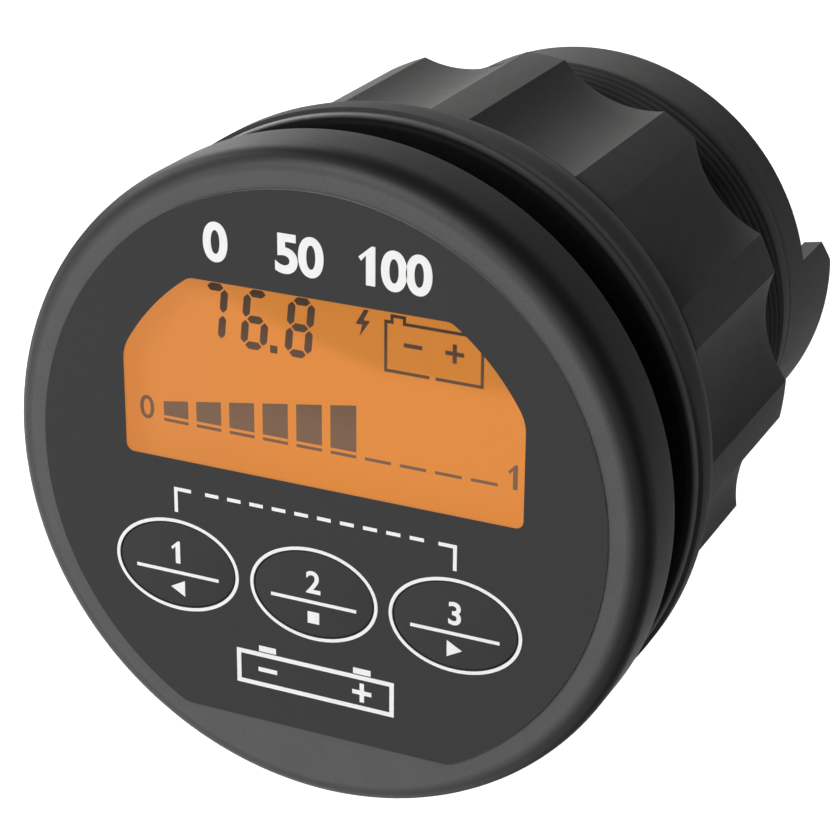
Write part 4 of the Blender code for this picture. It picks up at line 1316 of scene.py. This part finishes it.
class GAUGE_OT_keys(Operator):
    """Make the three oval keys and their marks"""

    bl_idname = "gauge.keys"
    bl_label = "Keys"

    def execute(self, context):
        face = context.scene.gauge_face
        for sign, side in enumerate(KEY_SIDES, start=1):
            place = key_place(side)
            body = side + "_key"
            pad = self.pad(face, place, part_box("key_" + side))
            put("key_pad_" + side, pad, finish_of("key_plastic"), body, ["key_" + side])
            marks = joined(self.marks(str(sign), side, place))
            put("key_mark_" + side, marks, finish_of("white_print"), body)
        return {"FINISHED"}

    def pad(self, face, place, box):
        """A flat pad with a rounded rim, on the key's wider foot."""
        low, high = box
        wide = face.key_half_width - face.key_play
        tall = face.key_half_height - face.key_play
        foot = (high.x - low.x) / 2
        foot_tall = (high.z - low.z) / 2
        front = low.y
        foot_front, foot_back = front + KEY_FOOT[0], front + KEY_FOOT[1]
        levels = [(wide - inset, tall - inset, front + depth) for inset, depth in KEY_RIM]
        levels += [(wide, tall, foot_front), (foot, foot_tall, foot_front), (foot, foot_tall, foot_back)]
        rings = [[(place[0], front, place[1])]]
        for half_x, half_z, y in levels:
            rings.append([(x, y, z) for x, z in oval(half_x, half_z, place)])
        rings.append([(place[0], foot_back, place[1])])
        return stacked(rings)

    def marks(self, words, side, place):
        """A number, a dividing line, and an arrow or a square below it."""
        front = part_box("key_" + side)[0].y
        near, far = front - INK_FILM, front + INK_FILM
        x, z = place
        marks = [number_mesh(words, KEY_NUMBER, KEY_WEIGHT, (x, z + KEY_NUMBER_RISE), near, far)]
        line = z - KEY_LINE_DROP
        loops = [bar(x - KEY_LINE / 2, x + KEY_LINE / 2, line - KEY_STROKE / 2, line + KEY_STROKE / 2)]
        low = z - KEY_ARROW_DROP
        half = KEY_ARROW / 2
        if side == "centre":
            side_half = half * KEY_SQUARE
            loops.append(bar(x - side_half, x + side_half, low - side_half, low + side_half))
        else:
            point = -half if side == "left" else half
            spread = half * KEY_ARROW_SPREAD
            loops.append([(x + point, low), (x - point, low - spread), (x - point, low + spread)])
        return marks + [flat_mesh("key_lines", loops, near, far)]


# Display: the lens, the digits, the battery outline and the signs
LENS_LAP = 0.0009
GLASS_EDGE = 0.00015
SEGMENT_GAP = 0.18
SHOWN_DIGITS = (("7", -0.0129), ("6", -0.0086), ("8", -0.0041))
POINT_PLACE = (-0.0055, 0.0118)
LIT_SEGMENTS = {"7": "abc", "6": "acdefg", "8": "abcdefg"}
CASE_BOX = (0.0059, 0.0155, 0.0120, 0.0169)
CASE_STROKE = 0.0003
CASE_GAP = (0.0103, 0.0109)
CASE_POST = (0.0065, 0.0080, 0.0175)
SIGN_PLACES = {"minus": (0.0087, 0.0148), "plus": (0.0127, 0.0148), "bolt": (0.0038, 0.0162)}
SIGN_ARM = 0.0009
SIGN_STROKE = 0.0004
BOLT = ((0.10, 1.0), (-0.55, -0.12), (-0.05, -0.12), (-0.25, -1.0), (0.55, 0.22), (0.05, 0.22),
        (0.45, 1.0))
BOLT_SIZE = 0.0013
SCALE_ENDS = (("0", (-0.0186, 0.0042)), ("1", (0.0186, 0.0042)))
SCALE_END_HEIGHT = 0.0024
SCALE_END_WEIGHT = 0.00003


class GAUGE_OT_display(Operator):
    """Make the window and the lit display with its digits, bars and signs"""

    bl_idname = "gauge.display"
    bl_label = "Display"

    def execute(self, context):
        face = context.scene.gauge_face
        show = context.scene.gauge_display
        lens = flat_mesh("lens", [window_outline(face, LENS_LAP)], LENS_LOW.y, LENS_HIGH.y)
        put("window_lens", lens, finish_of("lens"), GAUGE, ["display_window"])
        glass = softened("lcd_glass", GLASS_EDGE)
        put("display_panel", glass, finish_of("display"), GAUGE, ["lcd_glass"])
        near, far = LCD_LOW.y - INK_FILM, LCD_LOW.y + INK_FILM
        ink = finish_of("display_ink")
        digits = flat_mesh("digits", self.digits(show), near, far)
        put("display_digits", digits, ink, GAUGE)
        start = bpy.data.meshes.new("scale_start")
        values = {"Bars": show.bar_count, "Dashes": show.dash_count, "Pitch": show.bar_pitch,
                  "Width": show.bar_width, "Left": show.bar_left, "Base": show.bar_base, "Top": show.bar_top,
                  "Rise": show.bar_rise, "Dash height": show.dash_height, "Dash stroke": show.dash_stroke,
                  "Depth": LCD_LOW.y, "Thickness": 2 * INK_FILM, "Finish": ink}
        put("display_scale", scale_tree().run("scale", start, values), ink, GAUGE)
        put("display_signs", joined(self.signs(near, far)), ink, GAUGE)
        return {"FINISHED"}

    def digits(self, show):
        """Loops of the lit segments of the large digits, and the point."""
        loops = []
        for digit, left in SHOWN_DIGITS:
            for segment in LIT_SEGMENTS[digit]:
                loops.append([self.lean(show, left, x, z) for x, z in segment_loop(show, segment)])
        stroke = show.digit_stroke
        x, z = POINT_PLACE
        loops.append(bar(x, x + stroke, z, z + stroke))
        return loops

    def lean(self, show, left, x, z):
        """A point of a digit in its place, leaning to the right."""
        return (left + x + z * show.digit_lean, show.digit_base + z)

    def signs(self, near, far):
        """A battery outline with a post, a plus, a minus, a bolt, and the ends of the scale."""
        left, right, low, high = CASE_BOX
        post_left, post_right, post_top = CASE_POST
        stroke = CASE_STROKE
        gap_left, gap_right = CASE_GAP
        under = high - stroke
        loops = [bar(left, left + stroke, low, high),
                 bar(right - stroke, right, low, high),
                 bar(left + stroke, gap_left, low, low + stroke),
                 bar(gap_right, right - stroke, low, low + stroke),
                 bar(left + stroke, post_left, under, high),
                 bar(post_right, right - stroke, under, high),
                 bar(post_left, post_left + stroke, under, post_top),
                 bar(post_right - stroke, post_right, under, post_top),
                 bar(post_left + stroke, post_right - stroke, post_top - stroke, post_top)]
        x, z = SIGN_PLACES["plus"]
        loops.append(plus_loop((x, z), SIGN_ARM, SIGN_STROKE))
        x, z = SIGN_PLACES["minus"]
        loops.append(bar(x - SIGN_ARM, x + SIGN_ARM, z - SIGN_STROKE / 2, z + SIGN_STROKE / 2))
        x, z = SIGN_PLACES["bolt"]
        loops.append([(x + a * BOLT_SIZE, z + b * BOLT_SIZE) for a, b in BOLT])
        meshes = [flat_set("signs", loops, near, far)]
        for words, place in SCALE_ENDS:
            meshes.append(number_mesh(words, SCALE_END_HEIGHT, SCALE_END_WEIGHT, place, near, far))
        return meshes


def segment_loop(show, segment):
    """One segment of a digit, with pointed ends, before the digit leans."""
    width, height, stroke = show.digit_width, show.digit_height, show.digit_stroke
    half = stroke / 2
    gap = stroke * SEGMENT_GAP
    middle = height / 2
    level = {"a": height - half, "g": middle, "d": half}
    upright = {"b": (width - half, middle, height - half), "c": (width - half, half, middle),
               "e": (half, half, middle), "f": (half, middle, height - half)}
    if segment in level:
        z = level[segment]
        left, right = half + gap, width - half - gap
        return [(left, z), (left + half, z - half), (right - half, z - half),
                (right, z), (right - half, z + half), (left + half, z + half)]
    x, low, high = upright[segment]
    low, high = low + gap, high - gap
    return [(x, low), (x + half, low + half), (x + half, high - half),
            (x, high), (x - half, high - half), (x - half, low + half)]


# Housing: facets, the cover's lip, and the flange with its cavity
ROUND_COLUMNS = 288
THREAD_COLUMNS = 192
THREAD_ROWS = 6
SHROUD_STEPS = 120
LIP_RADIUS = 0.0213
LIP_GAP = 0.0003
LIP_EDGE = 0.0002
FLANGE_CAVITY = 0.0286
FLANGE_ROUND = 0.0002
FLANGE_PLAY = 0.00005
CAVITY_BACK = -0.0016


class GAUGE_OT_housing(Operator):
    """Make the flange, the threaded barrel, the rear shroud and the cover's lip"""

    bl_idname = "gauge.housing"
    bl_label = "Housing"

    def execute(self, context):
        barrel = context.scene.gauge_barrel
        finish = finish_of("barrel_plastic")
        rim = swept("rim", self.flange_section(barrel), finish)
        put("flange_rim", rim, finish, GAUGE, ["housing"], degrees=30)
        sizes = {"Root": barrel.root, "Crest": barrel.crest, "Wall": barrel.bore, "Start": 0.0,
                 "End": barrel.rim, "Thread start": barrel.thread_start, "Thread end": barrel.thread_end,
                 "Groove turn": barrel.run_out_turn, "Groove depth": barrel.run_out_depth}
        tube = threaded("tube", barrel.pitch, finish_of("thread"), sizes)
        put("threaded_barrel", tube, finish_of("thread"), GAUGE, ["housing"], degrees=50)
        shroud = self.shroud(barrel)
        put("rear_shroud", shroud, finish_of("grip"), GAUGE, ["housing"], degrees=30)
        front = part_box("rear_cover")[1].y + LIP_GAP
        inner = LIP_RADIUS
        section = [(inner, front), (barrel.bore, front), (barrel.bore, barrel.rim),
                   (inner + LIP_EDGE, barrel.rim), (inner, barrel.rim - LIP_EDGE)]
        lip = swept("lip", section, finish)
        put("cover_lip", lip, finish, GAUGE, ["housing"])
        return {"FINISHED"}

    def flange_section(self, barrel):
        """Section of the flange: rounded edges, the seal's groove and the cavity for the display."""
        front, outer, cavity = HOUSING_LOW.y, SKIRT_INNER - FLANGE_PLAY, FLANGE_CAVITY
        edge = FLANGE_ROUND
        section = [(barrel.bore, CAVITY_BACK), (cavity, CAVITY_BACK), (cavity, front)]
        section += arc((outer - edge, front + edge), edge, -90, 0, EDGE_STEPS)
        section += arc((outer - edge, -edge), edge, 0, 90, EDGE_STEPS)
        section += [(barrel.groove_outer, 0), (barrel.groove_outer, -barrel.groove_depth),
                    (barrel.groove_inner, -barrel.groove_depth), (barrel.groove_inner, 0), (barrel.bore, 0)]
        return section

    def shroud(self, barrel):
        """Half-round rear shroud with slanted upper corners."""
        first = barrel.shroud_from
        last = FULL_TURN - first
        back = HOUSING_HIGH.y
        rings = [[], [], [], []]
        for step in range(SHROUD_STEPS + 1):
            turn = first + (last - first) * step / SHROUD_STEPS
            near_end = min(turn - first, last - turn)
            slant = max(0.0, 1.0 - near_end / barrel.shroud_slant) * barrel.shroud_corner
            for ring, radius, y in zip(rings, (barrel.root, barrel.root, barrel.bore, barrel.bore),
                                       (barrel.rim, back - slant, back - slant, barrel.rim)):
                ring.append((radius * math.sin(turn), y, radius * math.cos(turn)))
        shape = bmesh.new()
        made = [[shape.verts.new(point) for point in ring] for ring in rings]
        for low, high in zip(made, made[1:] + made[:1]):
            for step in range(SHROUD_STEPS):
                shape.faces.new((low[step], low[step + 1], high[step + 1], high[step]))
        for end in (0, -1):
            shape.faces.new([ring[end] for ring in made])
        mesh = bpy.data.meshes.new("shroud")
        bmesh.ops.recalc_face_normals(shape, faces=shape.faces)
        shape.to_mesh(mesh)
        shape.free()
        return mesh


# Washer and lock ring: edges, the front cone, facets and the inside thread
WASHER_EDGES = (0.0010, 0.00005)
WASHER_STEPS = (8, 5)
RING_PLAY = 0.00003
WASHER_BORE = 0.0263
RING_EDGE = 0.0003
RING_FRONT_EDGE = 0.0001
RING_EDGE_STEPS = 4
CONE_FRONT = 0.0099
CONE_EDGE = 0.0002
CONE_SINK = 0.00006
CONE_STEPS = 8
CONE_CURVE = 1.35
GRIP_STEPS = 8
LAND_COLUMNS = 6
FLUTE_COLUMNS = 18
FLUTE_EDGE = 0.0002
RING_THREAD_OFFSET = 15.5
RING_THREAD_TURNS = 8
RING_THREAD_INSET = 0.0006


class GAUGE_OT_clamp(Operator):
    """Make the washer and the fluted lock ring with its inside thread"""

    bl_idname = "gauge.clamp"
    bl_label = "Washer and lock ring"

    def execute(self, context):
        ring = context.scene.gauge_ring
        barrel = context.scene.gauge_barrel
        finish = finish_of("barrel_plastic")
        outer, front, back = WASHER_HIGH.x, WASHER_LOW.y, RING_LOW.y - RING_PLAY
        near, far = WASHER_EDGES
        near_steps, far_steps = WASHER_STEPS
        washer = [(WASHER_BORE, front), (WASHER_BORE, back)]
        washer += reversed(arc((outer - far, back - far), far, 0, 90, far_steps))
        washer += reversed(arc((outer - near, front + near), near, -90, 0, near_steps))
        rubber = finish_of("seal_rubber")
        disc = swept("washer", washer, rubber)
        put("washer_ring", disc, rubber, "washer", ["clamp_washer"], degrees=30)
        values = {"Columns": ring.flute_count * (LAND_COLUMNS + FLUTE_COLUMNS), "Flutes": ring.flute_count,
                  "Land angle": ring.land_angle, "Land place": ring.land_place, "Land columns": LAND_COLUMNS,
                  "Flute columns": FLUTE_COLUMNS, "Land radius": ring.land_radius,
                  "Cut radius": ring.cut_radius, "Cut distance": ring.cut_distance,
                  "Edge round": FLUTE_EDGE, "Finish": finish_of("grip")}
        grip = section_tree(True).run("grip", section_mesh(self.section(ring)), values)
        put("ring_grip", grip, finish_of("grip"), "ring", ["lock_ring"], degrees=28)
        turns = RING_THREAD_OFFSET
        sizes = {"Root": ring.bore, "Crest": ring.crest, "Wall": ring.sleeve,
                 "Start": RING_LOW.y + RING_THREAD_INSET, "End": RING_HIGH.y - RING_THREAD_INSET,
                 "Thread start": barrel.thread_start + turns * barrel.pitch,
                 "Thread end": barrel.thread_start + (turns + RING_THREAD_TURNS) * barrel.pitch,
                 "Groove turn": 0.0, "Groove depth": 0.0}
        thread = threaded("ring_thread", barrel.pitch, finish, sizes)
        put("ring_thread", thread, finish, "ring", ["lock_ring"], degrees=50)
        return {"FINISHED"}

    def section(self, ring):
        """Section of the lock ring: front flange, cone, neck, fluted grip and rear edge."""
        front, back, flange = RING_LOW.y, RING_HIGH.y, RING_HIGH.x
        land = ring.land_radius
        edge = RING_EDGE
        rim = (flange - RING_FRONT_EDGE, front + RING_FRONT_EDGE)
        section = [(ring.sleeve, front), *arc(rim, RING_FRONT_EDGE, -90, 0, RING_EDGE_STEPS)]
        cone_back = ring.neck - CONE_EDGE
        sink = flange - land + CONE_SINK
        for step in range(CONE_STEPS + 1):
            share = step / CONE_STEPS
            y = CONE_FRONT + (cone_back - CONE_FRONT) * share
            section.append((flange - sink * share ** CONE_CURVE, y))
        section += [(land - CONE_SINK, ring.neck), (land, ring.neck + CONE_SINK, 1.0)]
        grip_back = back - edge
        for step in range(1, GRIP_STEPS + 1):
            y = ring.neck + CONE_SINK + (grip_back - ring.neck - CONE_SINK) * step / GRIP_STEPS
            section.append((land, y, 1.0))
        rounded = arc((land - edge, grip_back), edge, 0, 90, RING_EDGE_STEPS)
        section += [(radius, y, 1.0) for radius, y in rounded[1:]]
        section.append((ring.sleeve, back))
        return section


# Rear: the pins, and each piece with its node, its edge and its slot
PIN_COUNT = 6
PIN_EDGE = 0.0002
REAR_PIECES = (
    ("rear_plate", "rear_cover", 0.0002, "barrel_plastic"),
    ("connector_body", "terminal_header", 0.0002, "component_plastic"),
    ("plate_screw_left", "cover_screw_left", 0.00025, "steel"),
    ("plate_screw_right", "cover_screw_right", 0.00025, "steel"),
)


class GAUGE_OT_rear(Operator):
    """Make the rear cover, its screws, and the connector with its pins"""

    bl_idname = "gauge.rear"
    bl_label = "Rear"

    def execute(self, context):
        for name, node, width, slot in REAR_PIECES:
            put(name, softened(node, width), finish_of(slot), GAUGE, [node])
        pins = ["terminal_pin_" + str(place) for place in range(1, PIN_COUNT + 1)]
        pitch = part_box(pins[1])[0].x - PIN_LOW.x
        brass = finish_of("brass")
        values = {"Count": PIN_COUNT, "Pitch": pitch, "Finish": brass}
        row = row_tree().run("pins", softened(pins[0], PIN_EDGE), values)
        put("terminal_pins", row, brass, GAUGE, pins)
        return {"FINISHED"}


class GAUGE_OT_inner_parts(Operator):
    """Give every part of the frame the finish of its slot, for those that stay as they are"""

    bl_idname = "gauge.inner_parts"
    bl_label = "Inner parts"

    def execute(self, context):
        for part in frame["record"]["subparts"]:
            node = frame["nodes"][part["node"]]
            node.data.materials.clear()
            node.data.materials.append(finish_of(part["material_slot"]))
        return {"FINISHED"}


# Camera, floor and surroundings, and each light with its place, its size and its power in watts
SENSOR_WIDTH = 36.0
CLIP_START = 0.01
FLOOR_HALF = 3.0
FLOOR_COLOUR = (0.56, 0.56, 0.56, 1.0)
FLOOR_ROUGHNESS = 0.9
FLOOR_GLOW = 0.38
FLOOR_NEAR = 0.35
FLOOR_FAR = 1.2
WORLD_LIGHT = 0.10
LIGHTS = (
    ("front_softbox", (-0.20, -0.57, 0.37), 0.40, 4.2),
    ("left_softbox", (-0.45, 0.31, 0.31), 0.40, 7.6),
    ("right_fill", (0.30, 0.18, -0.055), 0.06, 0.16),
)


class GAUGE_OT_stage(Operator):
    """Set up the camera, the pale floor, the white surroundings and the soft lights"""

    bl_idname = "gauge.stage"
    bl_label = "Stage"

    def execute(self, context):
        stage = context.scene.gauge_stage
        self.camera(context.scene, stage)
        self.floor(stage)
        self.surroundings(context.scene)
        for name, place, size, power in LIGHTS:
            self.light(name, Vector(place), size, power, Vector(stage.target))
        context.scene.view_settings.view_transform = "Standard"
        return {"FINISHED"}

    def camera(self, scene, stage):
        """A camera at the photograph's angle."""
        level = math.cos(stage.elevation)
        across, toward = math.sin(stage.azimuth) * level, -math.cos(stage.azimuth) * level
        back = Vector((across, toward, math.sin(stage.elevation)))
        right = Vector((0, 0, 1)).cross(back).normalized()
        up = back.cross(right)
        side = right * math.cos(stage.roll) + up * math.sin(stage.roll)
        head = up * math.cos(stage.roll) - right * math.sin(stage.roll)
        data = bpy.data.cameras.new("portrait")
        data.lens = stage.lens
        data.sensor_width = SENSOR_WIDTH
        data.clip_start = CLIP_START
        camera = bpy.data.objects.new("portrait", data)
        scene.collection.objects.link(camera)
        turn = Matrix((side, head, back)).transposed().to_4x4()
        camera.matrix_world = Matrix.Translation(Vector(stage.target) + back * stage.distance) @ turn
        scene.camera = camera

    def floor(self, stage):
        """A wide pale floor. Near the gauge it keeps the shadow, and far from it it turns white."""
        half = FLOOR_HALF
        level = CAD_BOX[0].z - stage.floor_drop
        mesh = bpy.data.meshes.new("floor")
        corners = [(-half, -half, level), (half, -half, level), (half, half, level), (-half, half, level)]
        mesh.from_pydata(corners, [], [(0, 1, 2, 3)])
        material = bpy.data.materials.new("pale_floor")
        material.use_nodes = True
        tree = material.node_tree
        shader = tree.nodes["Principled BSDF"]
        shader.inputs["Base Color"].default_value = FLOOR_COLOUR
        shader.inputs["Roughness"].default_value = FLOOR_ROUGHNESS
        shader.inputs["Specular IOR Level"].default_value = 0.0
        shader.inputs["Emission Color"].default_value = (1.0, 1.0, 1.0, 1.0)
        reach = tree.nodes.new("ShaderNodeVectorMath")
        reach.operation = "LENGTH"
        tree.links.new(tree.nodes.new("ShaderNodeTexCoord").outputs["Object"], reach.inputs[0])
        far = Field(tree, reach.outputs["Value"]).ramp(FLOOR_NEAR, FLOOR_FAR - FLOOR_NEAR)
        glow = self.seen(tree) * (far * (1.0 - FLOOR_GLOW) + FLOOR_GLOW)
        tree.links.new(glow.socket, shader.inputs["Emission Strength"])
        mesh.materials.append(material)
        floor = bpy.data.objects.new("floor", mesh)
        bpy.context.scene.collection.objects.link(floor)

    def seen(self, tree):
        """1 for what the camera sees, straight or in gloss and glass, and 0 for soft light."""
        rays = tree.nodes.new("ShaderNodeLightPath")
        seen = Field(tree, rays.outputs["Is Camera Ray"])
        seen = seen.math("MAXIMUM", Field(tree, rays.outputs["Is Glossy Ray"]))
        return seen.math("MAXIMUM", Field(tree, rays.outputs["Is Transmission Ray"]))

    def surroundings(self, scene):
        """White to the camera and in reflections, a plain grey light otherwise."""
        world = bpy.data.worlds.new("white_room")
        world.use_nodes = True
        tree = world.node_tree
        seen = self.seen(tree)
        strength = seen * (1.0 - WORLD_LIGHT) + WORLD_LIGHT
        tree.links.new(strength.socket, tree.nodes["Background"].inputs["Strength"])
        tree.nodes["Background"].inputs["Color"].default_value = (1.0, 1.0, 1.0, 1.0)
        scene.world = world

    def light(self, name, place, size, power, target):
        """A square soft light aimed at the gauge."""
        data = bpy.data.lights.new(name, "AREA")
        data.size = size
        data.energy = power
        light = bpy.data.objects.new(name, data)
        bpy.context.scene.collection.objects.link(light)
        light.visible_camera = False
        light.location = place
        light.rotation_euler = (target - place).to_track_quat("-Z", "Y").to_euler()


OPERATORS = (GAUGE_OT_bezel, GAUGE_OT_face_sheet, GAUGE_OT_keys, GAUGE_OT_display, GAUGE_OT_housing,
             GAUGE_OT_clamp, GAUGE_OT_rear, GAUGE_OT_inner_parts, GAUGE_OT_stage)


class GAUGE_PT_panel(Panel):
    """Lists the pieces and their settings"""

    bl_idname = "GAUGE_PT_panel"
    bl_label = "Battery gauge head"
    bl_space_type = "VIEW_3D"
    bl_region_type = "UI"
    bl_category = "Gauge"

    def draw(self, context):
        for operator in OPERATORS:
            self.layout.operator(operator.bl_idname)
        for attribute, group in SETTINGS.items():
            box = self.layout.box()
            box.label(text=group.__doc__)
            for name in group.__annotations__:
                box.prop(getattr(context.scene, attribute), name)


def register():
    """Add the settings, the operators and the panel."""
    for attribute, group in SETTINGS.items():
        bpy.utils.register_class(group)
        setattr(bpy.types.Scene, attribute, PointerProperty(type=group))
    for operator in OPERATORS:
        bpy.utils.register_class(operator)
    bpy.utils.register_class(GAUGE_PT_panel)


def unregister():
    """Take them away again."""
    bpy.utils.unregister_class(GAUGE_PT_panel)
    for operator in reversed(OPERATORS):
        bpy.utils.unregister_class(operator)
    for attribute, group in reversed(SETTINGS.items()):
        delattr(bpy.types.Scene, attribute)
        bpy.utils.unregister_class(group)


def main():
    """Build the whole gauge."""
    register()
    bpy.ops.gauge.bezel()
    bpy.ops.gauge.face_sheet()
    bpy.ops.gauge.keys()
    bpy.ops.gauge.display()
    bpy.ops.gauge.housing()
    bpy.ops.gauge.clamp()
    bpy.ops.gauge.rear()
    bpy.ops.gauge.inner_parts()
    bpy.ops.gauge.stage()


if __name__ == "__main__":
    main()
